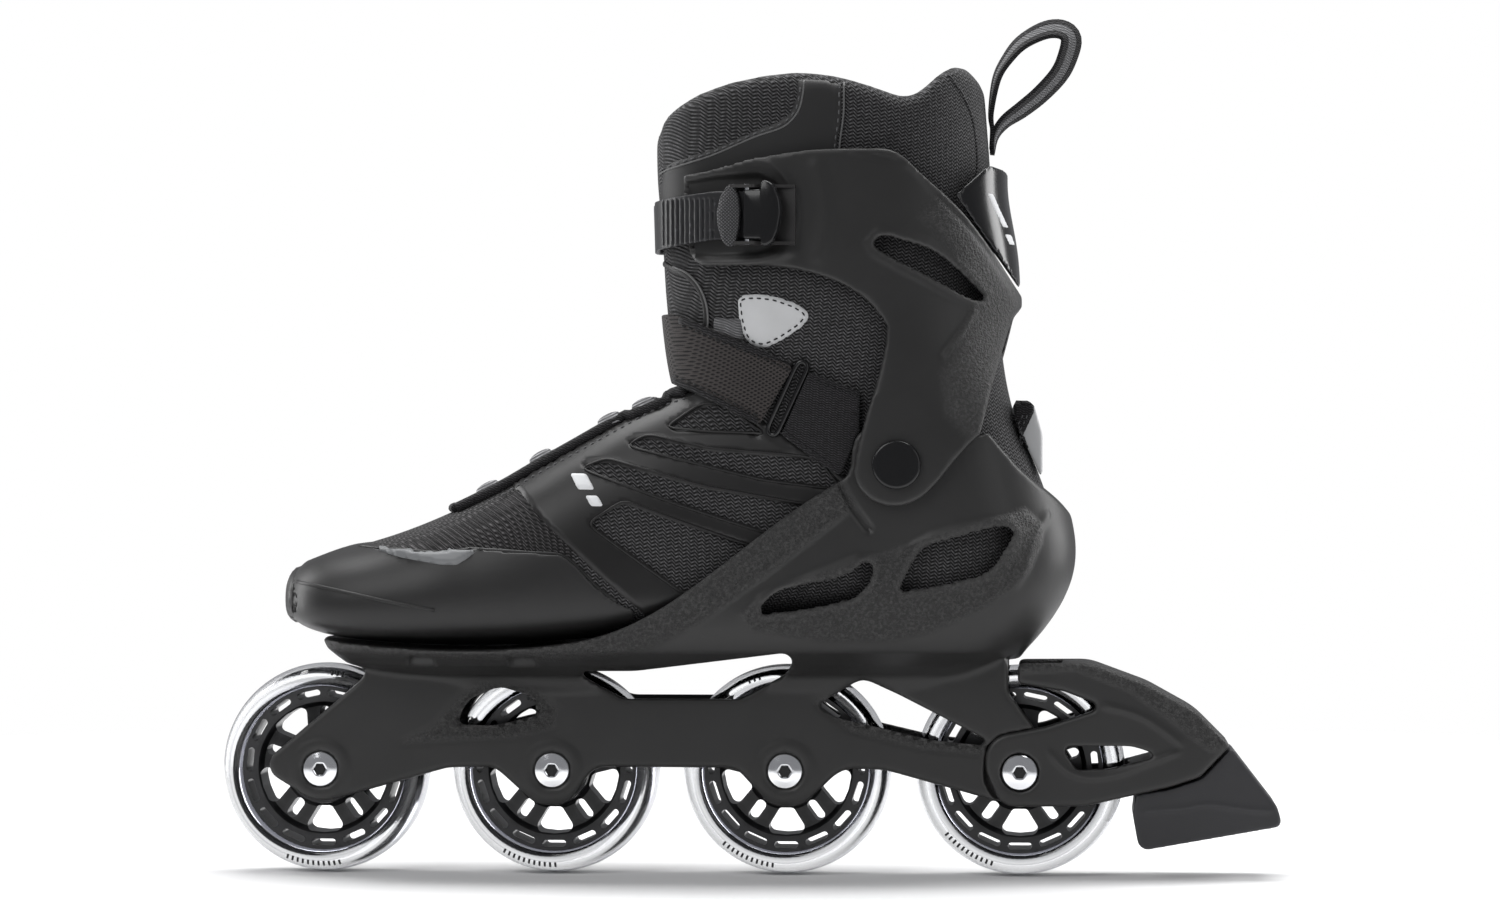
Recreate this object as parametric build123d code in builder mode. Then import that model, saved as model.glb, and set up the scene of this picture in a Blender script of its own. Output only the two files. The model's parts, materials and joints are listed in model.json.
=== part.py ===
"""Left inline skate: one-piece sole shell and frame, hinged cuff, soft boot, four wheels and a heel brake.

Frame of the part: millimetres, +Z up, +X towards the heel, +Y towards the inner side of the foot.
The origin lies on the ground under the middle of the wheelbase, in the plane of the wheels.
"""
from build123d import *
import math
import os

os.makedirs("parts", exist_ok=True)

# ---------------------------------------------------------------- driving dimensions
wheel_radius = 40.0
wheel_pitch = 89.0
axle_height = wheel_radius
axle_xs = [(n - 1.5) * wheel_pitch for n in range(4)]
rear_axle_x = axle_xs[3]

bearing_width = 7.0
spacer_half = 5.15
bearing_face = spacer_half + bearing_width
axle_radius = 3.96

channel_half = 13.6
plate_outer = 18.0
channel_top = 82.3
bolt_head_radius = 6.2
bolt_head_seat = 15.6
counterbore_radius = 7.3

pivot_x, pivot_z = 88.0, 156.5
pivot_radius = 5.0
pivot_cap_radius = 9.2
ear_outer_y = 43.2
fit_gap = 0.4

skin_depth = 1.2
upper_thickness = 4.2
collar_thickness = 9.5
flex_front_deg, flex_back_deg = 31.9, 30.0

# Soft boot, foot part: station x, bottom z, top z, half width, height of the widest point.
foot_stations = [
    (-146.2, 99, 112, 13, 105),
    (-143, 95.5, 117, 26, 104),
    (-136, 92.5, 122, 37, 103),
    (-122, 89.8, 126, 45, 102),
    (-100, 88.0, 133, 49.2, 102),
    (-75, 87.4, 144, 50, 103),
    (-45, 88.0, 161.5, 48.5, 105),
    (-15, 90.0, 178.5, 45, 107),
    (15, 93.0, 190, 42, 110),
    (50, 96.0, 196, 40, 114),
    (85, 98.0, 196, 38.8, 118),
]
# Soft boot, leg part: height z, front x, back x, half width.
leg_stations = [
    (98, 40, 136, 31),
    (106, 32, 143, 36.5),
    (120, 28, 147.5, 38.6),
    (138, 22, 146.5, 39),
    (155, 14, 141, 39),
    (170, 8, 134, 39.2),
    (185, 3, 129.5, 39.6),
    (200, 0, 126.8, 40.3),
    (220, -2, 124.8, 41.8),
    (245, -3.5, 123.2, 43.4),
    (270, -5, 122.2, 44.8),
    (290, -5.5, 121, 45.6),
    (312, -5.5, 119.5, 46),
]
# Outside of the hard shell: height z, toe x, heel x, half widths at ball, waist and heel.
shell_stations = [
    (86, -133, 136, 47, 40.5, 35),
    (96, -136, 144.5, 50.6, 45, 39.8),
    (108, -136.5, 151.5, 51.8, 46.3, 41.8),
    (120, -136.5, 154.6, 52, 46.2, 42.6),
    (134, -136, 153.6, 52, 45.8, 43),
    (150, -136, 149.5, 52, 45.2, 43.2),
    (174, -136, 143.5, 52, 44.6, 43.2),
]
skirt_stations = [
    (70.6, -116, 128.2, 18, 18, 18),
    (76, -118, 129.5, 20.5, 20, 19.5),
    (80.5, -126.5, 131.8, 37, 29, 25),
    shell_stations[0],
]
# Collar of the soft boot, which moves with the cuff: height z, front x, back x, half width.
collar_stations = [
    (150, 22, 137, 34.5),
    (175, 11, 129, 36),
    (200, 3, 124, 38),
    (216, -1.5, 124.4, 41.2),
    (245, -3.5, 123.2, 43.4),
    (270, -5, 122.2, 44.8),
    (290, -5.5, 121, 45.6),
    (312, -5.5, 119.5, 46),
]
# Inside of the cuff: height z, front x, back x, half width, fullness of the oval.
cuff_stations = [
    (136, -2, 153, 43.9, 3.0),
    (154, -2, 150, 43.9, 3.0),
    (170, -2.5, 144, 43.8, 3.0),
    (185, -3, 136.5, 43.2, 2.8),
    (200, -3, 131.5, 42.8, 2.6),
    (218, -3.5, 130, 43.2, 2.5),
    (240, -4.5, 128.6, 44.6, 2.5),
    (262, -5.5, 125.2, 46, 2.5),
    (285, -6.5, 122.6, 47.2, 2.5),
]
# Middle surface of the toothed strap: height z, front x, back x, half width.
ladder_stations = [
    (228, -5.2, 122, 52.0, 2.7),
    (248, -5.8, 122.6, 53.1, 2.7),
    (268, -6.4, 122, 54.2, 2.7),
]
cuff_wall = 4.2

# ---------------------------------------------------------------- shared surfaces


def half_oval(half_width, low, high, middle, power, count=8):
    """Points from the lowest to the highest point of a rounded half section."""
    points = []
    for k in range(count + 1):
        a = math.radians(-90 + 180 * k / count)
        across = half_width * abs(math.cos(a)) ** (2 / power)
        reach = (high - middle) if a > 0 else (middle - low)
        points.append((across, middle + math.copysign(reach * abs(math.sin(a)) ** (2 / power), a)))
    points[0] = (0, low)
    points[-1] = (0, high)
    return points


def closed_outline(half):
    """One closed smooth curve through the points of a half outline and their mirror images."""
    Spline(*half, *[(-u, v) for u, v in half[-2:0:-1]], periodic=True)


def foot_solid(grow):
    """The soft boot's foot part, grown outwards by grow."""
    with BuildPart() as body:
        usable = [row for row in foot_stations if row[2] - row[1] + 2 * grow > 2]
        for x, low, high, half, middle in usable:
            shift = -grow if x == usable[0][0] else 0
            with BuildSketch(Plane.YZ.offset(x + shift)):
                with BuildLine():
                    closed_outline(half_oval(half + grow, low - grow, high + grow, middle, 2.5))
                make_face()
        loft()
    return body.part


def level_plane(z):
    """Level sketch plane whose local x runs to the inner side and local y to the heel."""
    return Plane(origin=(0, 0, z), x_dir=(0, 1, 0), z_dir=(0, 0, -1))


def leg_solid(grow, stations=leg_stations):
    """The soft boot's leg part, or another oval column, grown outwards by grow."""
    with BuildPart() as body:
        for z, front, back, half, *fullness in stations:
            middle = front + 0.56 * (back - front)
            power = fullness[0] if fullness else 2.4
            with BuildSketch(level_plane(z)):
                with BuildLine():
                    closed_outline(half_oval(half + grow, front - grow, back + grow, middle, power))
                make_face()
        loft()
    return body.part


def sole_solid(stations, ruled):
    """Outside of the hard shell between two levels, lofted through level outlines."""
    with BuildPart() as body:
        for z, toe, heel, ball, waist, heel_half in stations:
            nose, tail = max(ball, 42), max(heel_half, 36)
            with BuildSketch(level_plane(z)):
                with BuildLine():
                    closed_outline([
                        (0, toe),
                        (0.48 * ball, toe + 0.10 * nose),
                        (0.86 * ball, toe + 0.62 * nose),
                        (ball, -72),
                        (0.5 * (ball + waist), -15),
                        (waist, 40),
                        (heel_half, 86),
                        (0.86 * heel_half, heel - 0.48 * tail),
                        (0.40 * heel_half, heel - 0.08 * tail),
                        (0, heel),
                    ])
                make_face()
        loft(ruled=ruled)
    return body.part


def side_face(*runs):
    """Closed side outline, (x, z) points: a run of two points is a line, a longer one a curve."""
    with BuildSketch() as sk:
        with BuildLine():
            for run in runs:
                if len(run) == 2:
                    Line(*run)
                else:
                    Spline(*run)
        make_face()
    return sk.sketch


def slab(face, near=-95.0, far=95.0):
    """A side outline made solid between two values of y."""
    with BuildPart() as body:
        with BuildSketch(Plane.XZ.offset(-far)):
            add(face)
        extrude(amount=far - near)
    return body.part


def write(label, part):
    """Labels a finished piece and writes it, one file per node."""
    part.label = label
    export_step(part, f"parts/{label}.step")


def corner_face(corners):
    """Closed side outline, (x, z, fillet radius) corners."""
    with BuildSketch() as sk:
        with BuildLine():
            FilletPolyline(*[(x, z) for x, z, _ in corners], radius=[r for *_, r in corners], close=True)
        make_face()
    return sk.sketch


def cylinder(x, z, radius, near, far):
    """A round bar along y between two values of y."""
    with BuildPart() as body:
        with BuildSketch(Plane.XZ.offset(-far)):
            with Locations((x, z)):
                Circle(radius)
        extrude(amount=far - near)
    return body.part


boot = foot_solid(0) + leg_solid(0)
boot_grown = foot_solid(fit_gap) + leg_solid(fit_gap)
boot_skin = foot_solid(-skin_depth) + leg_solid(-skin_depth)
boot_lining = foot_solid(-skin_depth - upper_thickness) + leg_solid(-skin_depth - upper_thickness)
veneer = boot - (foot_solid(0.1 - skin_depth) + leg_solid(0.1 - skin_depth))

# ---------------------------------------------------------------- side outlines
shell_rail = [
    (-139, 90.6), (-112, 88.2), (-75, 86.6), (-45, 88.2), (-24, 92), (-5, 100), (18, 115.5), (42, 134),
    (66, 150),
]
shell_side = side_face(
    shell_rail,
    [(66, 150), (69.5, 153), (71, 160), (74, 168.5)],
    [(74, 168.5), (80, 172), (88, 173.2), (97, 171)],
    [(97, 171), (108, 165.2), (118, 167.4), (122, 168.4)],
    [(122, 168.4), (127, 162.3), (137, 151.8), (147, 143.7), (153, 137)],
    [(153, 137), (160, 136)],
    [(160, 136), (160, 70.6)],
    [(160, 70.6), (-139, 70.6)],
    [(-139, 70.6), (-139, 90.6)],
)
window_front = side_face(
    [(36.5, 101), (38, 104.8), (56, 112.6), (74, 119.6)],
    [(74, 119.6), (78.5, 119.8), (79, 115.5), (76.5, 110.5), (71, 106)],
    [(71, 106), (62, 103.8), (48, 101.4), (37, 100)],
    [(37, 100), (36.5, 101)],
)
window_rear = side_face(
    [(88.5, 110.8), (93, 119), (97, 125), (102, 127.6)],
    [(102, 127.6), (112, 130.4), (124, 133.4), (129, 133.8)],
    [(129, 133.8), (131.4, 131.2), (129, 125.5), (124, 118), (118, 114.4)],
    [(118, 114.4), (108, 112), (96, 109.6), (89, 109)],
    [(89, 109), (88.5, 110.8)],
)
plate_side = [
    (-117, 82, 0), (-116.2, 75.8, 5), (-157.6, 40.8, 6), (-134.5, 26.6, 16), (-84, 40.8, 20),
    (-66.5, 41.0, 8), (-50.5, 26.6, 9), (-38.5, 26.4, 9), (-28.5, 41.2, 8), (26, 41.0, 8),
    (39.0, 26.4, 9), (51.0, 26.6, 9), (66, 41.0, 12), (82, 40.6, 20), (126, 28.6, 9),
    (144, 29.0, 9), (147, 46, 6), (129.2, 70.5, 4), (129.2, 82, 0),
]
gap_centre = [
    (-37, 78.2, 1.5), (-12, 78.2, 30), (51, 86.5, 3.2), (45, 77, 6), (27, 67.2, 10), (-17, 67.2, 10),
]
gap_rear = [(56.5, 65, 1.5), (74, 75.5, 7), (88, 69, 10), (126.5, 49.4, 1.5), (100, 52, 30), (64, 60.4, 6)]
gap_front = [
    (-81.5, 57.0, 2), (-77, 66.6, 8), (-64.5, 72, 9), (-51.4, 67.6, 4), (-50.2, 60.8, 1.5),
    (-66, 57.0, 20),
]
cuff_recess = [
    (64, 152, 0), (72, 139.5, 4), (80, 130.5, 4), (108, 144, 10), (124, 160, 0), (124, 182, 0),
    (64, 182, 0),
]
arm_side = [
    (120.5, 40.4, 13), (126.5, 26.9, 8), (158, 27.2, 40), (190, 34.6, 30), (201.5, 38.4, 6), (213, 50.4, 1.5),
    (200, 63.5, 30), (182, 73.5, 30), (160, 81.6, 20), (132.8, 81.4, 2), (132.8, 73.6, 1.5),
    (150, 70.8, 10), (165.5, 64.8, 1.8), (143, 57.4, 12), (120.5, 53, 10),
]
arm_window = [(149, 50.2, 2), (176, 50.2, 20), (186.5, 46.6, 1.2), (168, 41.6, 20), (155, 40.9, 3)]
pad_side = [
    (177.2, 31.6, 1), (176.2, 24, 5), (178.6, 10.3, 4), (232.6, 20.0, 2.5),
    (230.5, 27.5, 8), (213.4, 49.6, 1), (202.0, 37.7, 6), (190, 33.7, 30),
]
cuff_side = side_face(
    [(7.5, 265.6), (17.8, 266.8), (33, 270.3), (48, 273), (62.3, 274.3), (78, 274.3)],
    [(78, 274.3), (87, 273.4), (92.5, 269.6)],
    [(92.5, 269.6), (101.2, 261.5), (111, 252.6), (118.5, 243.5), (125.2, 234), (131, 225), (136, 218.2)],
    [(136, 218.2), (130.8, 213.2)],
    [(130.8, 213.2), (127.3, 200), (123, 184.5), (120.8, 175), (119, 168)],
    [
        (119, 168), (115, 164.4), (109, 157.4), (103, 150), (97, 144.2), (90, 141.3), (82, 141.8),
        (75.4, 146), (72, 154),
    ],
    [(72, 154), (73.5, 163), (78.5, 181), (83, 197), (84.6, 208)],
    [(84.6, 208), (80.5, 214), (73.9, 220.1), (64.1, 225.5), (52.4, 229), (37.8, 230.9), (17, 231.2)],
    [(17, 231.2), (11, 234), (9, 241), (7.5, 257)],
    [(7.5, 257), (7.5, 265.6)],
)
cuff_window = side_face(
    [(79, 239.3), (81, 241.6), (90, 240.4), (99, 237.7), (108, 231.8), (117, 223.2), (120.6, 219.6)],
    [(120.6, 219.6), (119.5, 217.8), (116, 218.2), (108, 222.1), (99, 227), (90, 231.6), (80.6, 237)],
    [(80.6, 237), (79, 239.3)],
)
back_side = [
    (109.6, 257.4, 1.5), (122, 269.2, 3), (129, 267.6, 3), (140, 258, 0), (140, 218.2, 0), (136.9, 218.2, 0),
    (126, 234.4, 30), (118.9, 244.2, 30),
]
toe_side = side_face(
    [(-152, 119.4), (-141, 119.2), (-131, 122.6), (-120, 126.2)],
    [(-120, 126.2), (-100, 124.6), (-81.6, 123), (-73, 125), (-65, 124.4), (-50, 123.4), (-38, 122.6)],
    [(-38, 122.6), (-31, 117.2), (-24, 110), (-16.5, 104.6), (-11, 102)],
    [(-11, 102), (-11, 96), (-40, 85)],
    [(-40, 85), (-152, 85)],
    [(-152, 85), (-152, 119.4)],
)
overlay_side = [
    (-6, 99, 0), (-26, 116.5, 40), (-46, 136, 20), (-56, 147.5, 3), (-63, 146.6, 1),
    (-34, 163.5, 60), (-4, 180.5, 40),
    (14, 186, 10), (30, 178.5, 4), (46, 167, 6), (72, 150, 0), (60, 120, 0), (10, 96, 0),
]
overlay_windows = [
    [(-27, 134.4, 2.5), (-15, 142, 5), (10, 132.6, 30), (34, 125.2, 1), (9, 108.5, 2), (-12, 124, 20)],
    [(-31, 155.6, 1.5), (-22, 157.4, 6), (15, 147, 60), (56, 140, 1), (42, 131, 1), (6, 142.6, 60)],
    [(-14, 164.2, 1), (-7, 166.4, 4), (18, 161, 40), (58, 158, 2), (67, 148, 2), (38, 151.8, 40)],
    [(1.5, 170.2, 2), (14, 178.4, 6), (21, 178.8, 3), (37.5, 168.6, 2), (16, 169.8, 20)],
]
power_side = [
    (3, 213.5, 3), (-8, 214, 0), (-8, 188.2, 0), (-3, 188.6, 0), (14, 182.6, 30), (36, 171.4, 1.5),
    (49, 193, 1.5), (24, 205.2, 40),
]
anchor_side = [
    (55, 191.2, 1), (66, 187, 10), (77.5, 182.2, 0), (72, 158, 0), (66, 152.4, 2), (57, 158.2, 10),
    (44.5, 167.6, 1),
]
heel_tab_side = [(127.6, 160.5, 3), (142, 151, 1.5), (142, 168, 10), (138.6, 180, 2), (131, 179.6, 2)]


def ankle_cut(front_deg, back_deg):
    """The part of the side plane above the ankle hinge between two lines through it."""
    far = 300
    a, b = math.radians(180 - front_deg), math.radians(back_deg)
    with BuildSketch() as sk:
        with BuildLine():
            Polyline(
                (pivot_x, pivot_z),
                (pivot_x + far * math.cos(b), pivot_z + far * math.sin(b)),
                (pivot_x + far * math.cos(b), pivot_z + far),
                (pivot_x + far * math.cos(a), pivot_z + far),
                (pivot_x + far * math.cos(a), pivot_z + far * math.sin(a)),
                close=True,
            )
        make_face()
    return sk.sketch


# ---------------------------------------------------------------- hard shell and frame
with BuildPart() as plate:
    with BuildSketch(Plane.XZ.offset(channel_half)):
        add(corner_face(plate_side))
    extrude(amount=plate_outer - channel_half)
    fillet(plate.faces().sort_by(Axis.Y)[0].edges().filter_by(lambda e: e.center().Z < 81.5), 1.2)

with BuildPart() as frame_shell:
    add((sole_solid(shell_stations, False) + sole_solid(skirt_stations, True)) & slab(shell_side))
    # wheel channel, under the boot's floor
    with BuildSketch(Plane.XY.offset(60)):
        Rectangle(330, 2 * channel_half)
    extrude(amount=channel_top - 60, mode=Mode.SUBTRACT)
    add(boot_grown, mode=Mode.SUBTRACT)
    add(slab(window_front), mode=Mode.SUBTRACT)
    add(slab(window_rear), mode=Mode.SUBTRACT)
    add(plate.part)
    mirror(plate.part, about=Plane.XZ)
    for gap in (gap_centre, gap_rear, gap_front):
        add(slab(corner_face(gap)), mode=Mode.SUBTRACT)
    for side in (-1, 1):
        # flat seat for the cuff's ear, and the seat of the brake arm's eye
        add(slab(corner_face(cuff_recess), *sorted((side * ear_outer_y, side * 70))), mode=Mode.SUBTRACT)
        add(slab(corner_face(arm_side), *sorted((side * 15.1, side * 30))), mode=Mode.SUBTRACT)
        add(cylinder(rear_axle_x, axle_height, 13.7, *sorted((side * 15.1, side * 30))), mode=Mode.SUBTRACT)
        pivot_bore = cylinder(pivot_x, pivot_z, pivot_radius + 0.03, *sorted((side * 38, side * 46)))
        add(pivot_bore, mode=Mode.SUBTRACT)
        add(cylinder(pivot_x, pivot_z, 7.6, *sorted((side * 38, side * 40.8))), mode=Mode.SUBTRACT)
    for x in axle_xs:
        last = x == rear_axle_x
        for side in (-1, 1):
            # boss that the bearing's inner ring bears on, and the seat of the bolt's head
            with BuildSketch(Plane((x, side * bearing_face, axle_height), z_dir=(0, side, 0))):
                Circle(6.4)
            extrude(amount=channel_half - bearing_face + 0.2)
            if not last:
                with BuildSketch(Plane((x, side * bolt_head_seat, axle_height), z_dir=(0, side, 0))):
                    Circle(counterbore_radius)
                extrude(amount=8, mode=Mode.SUBTRACT)
        with BuildSketch(Plane.XZ.offset(-30)):
            with Locations((x, axle_height)):
                Circle(axle_radius + 0.06)
        extrude(amount=60, mode=Mode.SUBTRACT)
write("frame_shell", frame_shell.part)

# ---------------------------------------------------------------- soft boot
throat_side = [
    (-84, 118, 0), (-84, 160, 0), (-30, 230, 0), (34, 230, 0), (34, 200, 0), (22, 186, 20),
    (-56, 118, 0),
]
throat = corner_face(throat_side)
lower_cut = slab(ankle_cut(flex_front_deg, flex_back_deg))

boot_upper = boot_skin - boot_lining - lower_cut - slab(throat, -17, 17)
write("boot_upper", boot_upper)

tongue_outer = foot_solid(-1.6) + leg_solid(-1.6)
tongue_inner = foot_solid(-7) + leg_solid(-7)
tongue = (tongue_outer - tongue_inner - lower_cut) & slab(throat, -16.5, 16.5)
write("tongue", tongue)

above_rail = slab(
    side_face(
        [(x, z + 1.0) for x, z in shell_rail],
        [(66, 151), (74, 169)],
        [(74, 169), (74, 260)],
        [(74, 260), (-160, 260)],
        [(-160, 260), (-160, 91.6)],
        [(-160, 91.6), (-139, 91.6)],
    )
)
toe_cap = veneer & slab(toe_side) & above_rail
write("toe_cap", toe_cap)

overlay = veneer & slab(corner_face(overlay_side), -80, -17.3) & above_rail
for outline in overlay_windows:
    overlay -= slab(corner_face(outline), -80, 0)
overlay -= slab(ankle_cut(flex_front_deg, flex_back_deg))
overlay -= slab(corner_face([(-160, 80, 0), (-160, 126.6, 0), (-38, 123, 0), (-8, 100, 0), (-8, 80, 0)]))
write("overlay_lateral", overlay)
write("overlay_medial", mirror(overlay, about=Plane.XZ))

insole_side = [
    (-132, 80, 0), (-132, 97.5, 2), (-60, 95.5, 60), (20, 101.5, 60), (70, 107.5, 30), (126, 109, 2),
    (126, 80, 0),
]
insole_outer = foot_solid(-skin_depth - upper_thickness - 0.4) + leg_solid(-skin_depth - upper_thickness - 0.4)
insole = insole_outer & slab(corner_face(insole_side))
write("insole", insole)

heel_tab = slab(corner_face(heel_tab_side), -13, 13) - boot_grown
write("heel_tab", heel_tab.solids().sort_by(Axis.X)[-1])

strap_outer = foot_solid(2.6) + leg_solid(2.6)
strap_inner = foot_solid(0.5) + leg_solid(0.5)
power_strap = (strap_outer - strap_inner) & slab(corner_face(power_side))
write("power_strap", power_strap)

anchor = (strap_outer - strap_inner) & slab(corner_face(anchor_side), -80, 0) & above_rail
anchor = (anchor - frame_shell.part).solids().sort_by(SortBy.VOLUME)[-1]
write("anchor_webbing", anchor + mirror(anchor, about=Plane.XZ))

with BuildPart() as strap_ring:
    for side in (-1, 1):
        ring_y = side * 43.4
        with BuildSketch(Plane((52.4, ring_y, 194.4), z_dir=(-11.6, 0, -25.2))):
            Circle(1.25)
        extrude(amount=27.7)
write("strap_ring", strap_ring.part)

# Lace: one cord, from edge to edge of the throat in crosses over the tongue.
lace_radius = 1.3
lace_rows = [(-66, 151.5), (-46, 163.0), (-24, 175.6), (-12.5, 182.4)]
lace_half = 18.4
lace_turn = 2.2


def lace_side(row, side, rising):
    """The two points of the lace's turn at a row; rising runs towards the ankle."""
    x, z = lace_rows[row]
    step = lace_turn if rising else -lace_turn
    return [
        (x - step, side * lace_half, z + 2.6 - 0.5 * step),
        (x + step, side * lace_half, z + 2.6 + 0.5 * step),
    ]


def lace_middle(row, lift):
    """Where the lace crosses the tongue between a row and the next."""
    (x0, z0), (x1, z1) = lace_rows[row], lace_rows[row + 1]
    return (0.5 * (x0 + x1), 0, 0.5 * (z0 + z1) + lift)


lace_path = [(-9.5, 4, 188.7)] + lace_side(3, -1, False)
for row, side in ((2, 1), (1, -1), (0, 1)):
    lace_path += [lace_middle(row, 9.6)] + lace_side(row, side, False)
lace_path += [(-70.5, 0, 154.6)]
for row, side in ((0, -1), (1, 1), (2, -1), (3, 1)):
    lace_path += lace_side(row, side, True)
    if row < 3:
        lace_path += [lace_middle(row, 5.2)]
lace_path += [(-13.5, -4, 190.7)]
with BuildPart() as laces:
    with BuildLine() as lace_line:
        Spline(*lace_path)
    with BuildSketch(lace_line.line ^ 0):
        Circle(lace_radius)
    sweep()
write("laces", laces.part)

# ---------------------------------------------------------------- cuff
cuff_inner = leg_solid(0, cuff_stations)
cuff_outer = leg_solid(cuff_wall, cuff_stations)
cuff_column = cuff_outer - cuff_inner
cuff = cuff_column & slab(cuff_side)
cuff -= slab(cuff_window)
for side in (-1, 1):
    cuff -= cylinder(pivot_x, pivot_z, pivot_radius + 0.05, *sorted((side * 40, side * 60)))
cuff -= cylinder(36, 249.6, 2.6, 30, 70)
write("cuff", cuff)

back_panel = leg_solid(cuff_wall - 0.6, cuff_stations) - leg_solid(0.6, cuff_stations)
back_panel &= slab(corner_face(back_side))
write("cuff_back_panel", back_panel)

strap_room = [
    (4, 242, 0), (8, 239.6, 6), (19, 233.4, 10), (38, 221, 10), (61.5, 203.2, 6), (70, 182, 0),
    (70, 150, 0), (-14, 150, 0), (-14, 242, 0),
]
collar_top = side_face(
    [(-14, 281), (-5.5, 282), (-2, 289), (3, 292), (12, 296.5), (25, 300.5), (38, 302.5), (50, 304), (62, 303)],
    [
        (62, 303), (72, 300.5), (80, 298), (88, 295), (93, 294.6), (98, 298), (103, 303.5), (110, 307.4),
        (125, 306),
    ],
    [(125, 306), (160, 306)],
    [(160, 306), (160, 120)],
    [(160, 120), (-14, 120)],
    [(-14, 120), (-14, 281)],
)
collar_body = leg_solid(0, collar_stations) - leg_solid(-collar_thickness, collar_stations)
collar = collar_body & slab(collar_top) & slab(ankle_cut(flex_front_deg + 13.2, flex_back_deg + 5.5))
# room for the instep strap when the cuff leans forward
collar -= slab(corner_face(strap_room))
write("collar", collar)

with BuildPart() as pull_loop:
    with BuildSketch(Plane.XZ.offset(-5)):
        with BuildLine() as loop_line:
            Spline((122.9, 279), (122.4, 291), (124.6, 304), (133, 317), (143, 323.4), (151.5, 323.6))
            Spline((151.5, 323.6), (154.4, 317.6), (150, 307.5), (141, 297.4), (131, 290.3), (124.6, 286.0),
                   tangents=[(0.6, -0.8), (-0.8, -0.6)])
        trace(loop_line.line, 1.7)
    extrude(amount=10)
write("pull_loop", pull_loop.part)

# ---------------------------------------------------------------- buckle
buckle_angle = 11.0
buckle_tilt = math.radians(buckle_angle)
buckle_origin = (39, -47.8, 249.6)
# local x runs rearwards along the cuff, local y up, local z outwards
buckle = Plane(
    origin=buckle_origin,
    x_dir=(math.cos(buckle_tilt), -math.sin(buckle_tilt), 0),
    z_dir=(-math.sin(buckle_tilt), -math.cos(buckle_tilt), 0),
)
lever_pin_u, lever_pin_n = -5.0, 7.4
pawl_pin_u, pawl_pin_n = -10.6, 7.0
pin_radius = 1.0

ladder = leg_solid(0.9, ladder_stations) - leg_solid(-0.9, ladder_stations)
ladder_side = [
    (-12, 236.8, 0), (-12, 255.6, 0), (20, 258.6, 20), (43, 258.9, 2), (43, 241.0, 2), (20, 240.6, 20),
]
ladder_strap = ladder & slab(corner_face(ladder_side))
groove_rows = corner_face([(0.6, 238.8, 0), (1.6, 238.8, 0), (1.6, 256.4, 0), (0.6, 256.4, 0)])
ladder_face = leg_solid(1.5, ladder_stations) - leg_solid(0.25, ladder_stations)
for k in range(11):
    # grooves across the strap's outer face
    ladder_strap -= ladder_face & slab(groove_rows, -95, 0).moved(Location((2.0 * k - 1.6, 0, 0)))
ladder_strap -= cylinder(36, 249.6, 2.6, 40, 70)
write("ladder_strap", ladder_strap)


def across_buckle(v):
    """Sketch plane across the buckle at local height v; its normal points down."""
    return Plane(origin=buckle.from_local_coords((0, v, 0)), x_dir=buckle.x_dir, z_dir=-buckle.y_dir)


cheek = [
    (-12, 0.9, 0), (-12, 8.6, 1), (-8.6, 9.0, 4), (-2.6, 9.2, 1.5), (0, 6.4, 2), (12, 2.2, 0.5),
    (12, 0.9, 0),
]
with BuildPart() as buckle_base:
    with BuildSketch(buckle.offset(0.9)):
        Rectangle(24, 22.4)
    extrude(amount=1.1)
    for v in (11.2, -10.0):
        with BuildSketch(across_buckle(v)):
            add(corner_face(cheek))
        extrude(amount=1.2)
    with BuildSketch(across_buckle(12)):
        with Locations((lever_pin_u, lever_pin_n), (pawl_pin_u, pawl_pin_n)):
            Circle(pin_radius + 0.02)
    extrude(amount=24, mode=Mode.SUBTRACT)
write("buckle_base", buckle_base.part)

with BuildPart() as buckle_pins:
    with BuildSketch(across_buckle(11.3)):
        with Locations((lever_pin_u, lever_pin_n), (pawl_pin_u, pawl_pin_n)):
            Circle(pin_radius)
    extrude(amount=22.6)
write("buckle_pins", buckle_pins.part)

lever_profile = [
    (-5.7, 5.9, 0.4), (-6.55, 6.9, 0.4), (-7.0, 9.0, 1.2), (0, 9.6, 4), (7, 9.0, 2),
    (9.8, 6.6, 0.3), (9.6, 5.6, 0.2), (-4.6, 5.6, 0.2),
]
lever_heel = [(0.6, 6.9, 0), (0.6, 9.5, 0), (7, 8.9, 1.5), (9.7, 6.6, 0.3), (9.5, 5.65, 0.2), (4.6, 5.65, 0)]


with BuildPart() as buckle_lever:
    for half_height, outline in ((9.6, lever_profile), (11.4, lever_heel)):
        with BuildSketch(across_buckle(half_height)):
            add(corner_face(outline))
        extrude(amount=2 * half_height)
    with BuildSketch(across_buckle(12)):
        with Locations((lever_pin_u, lever_pin_n)):
            Circle(pin_radius + 0.05)
    extrude(amount=24, mode=Mode.SUBTRACT)
write("buckle_lever", buckle_lever.part)

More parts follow.
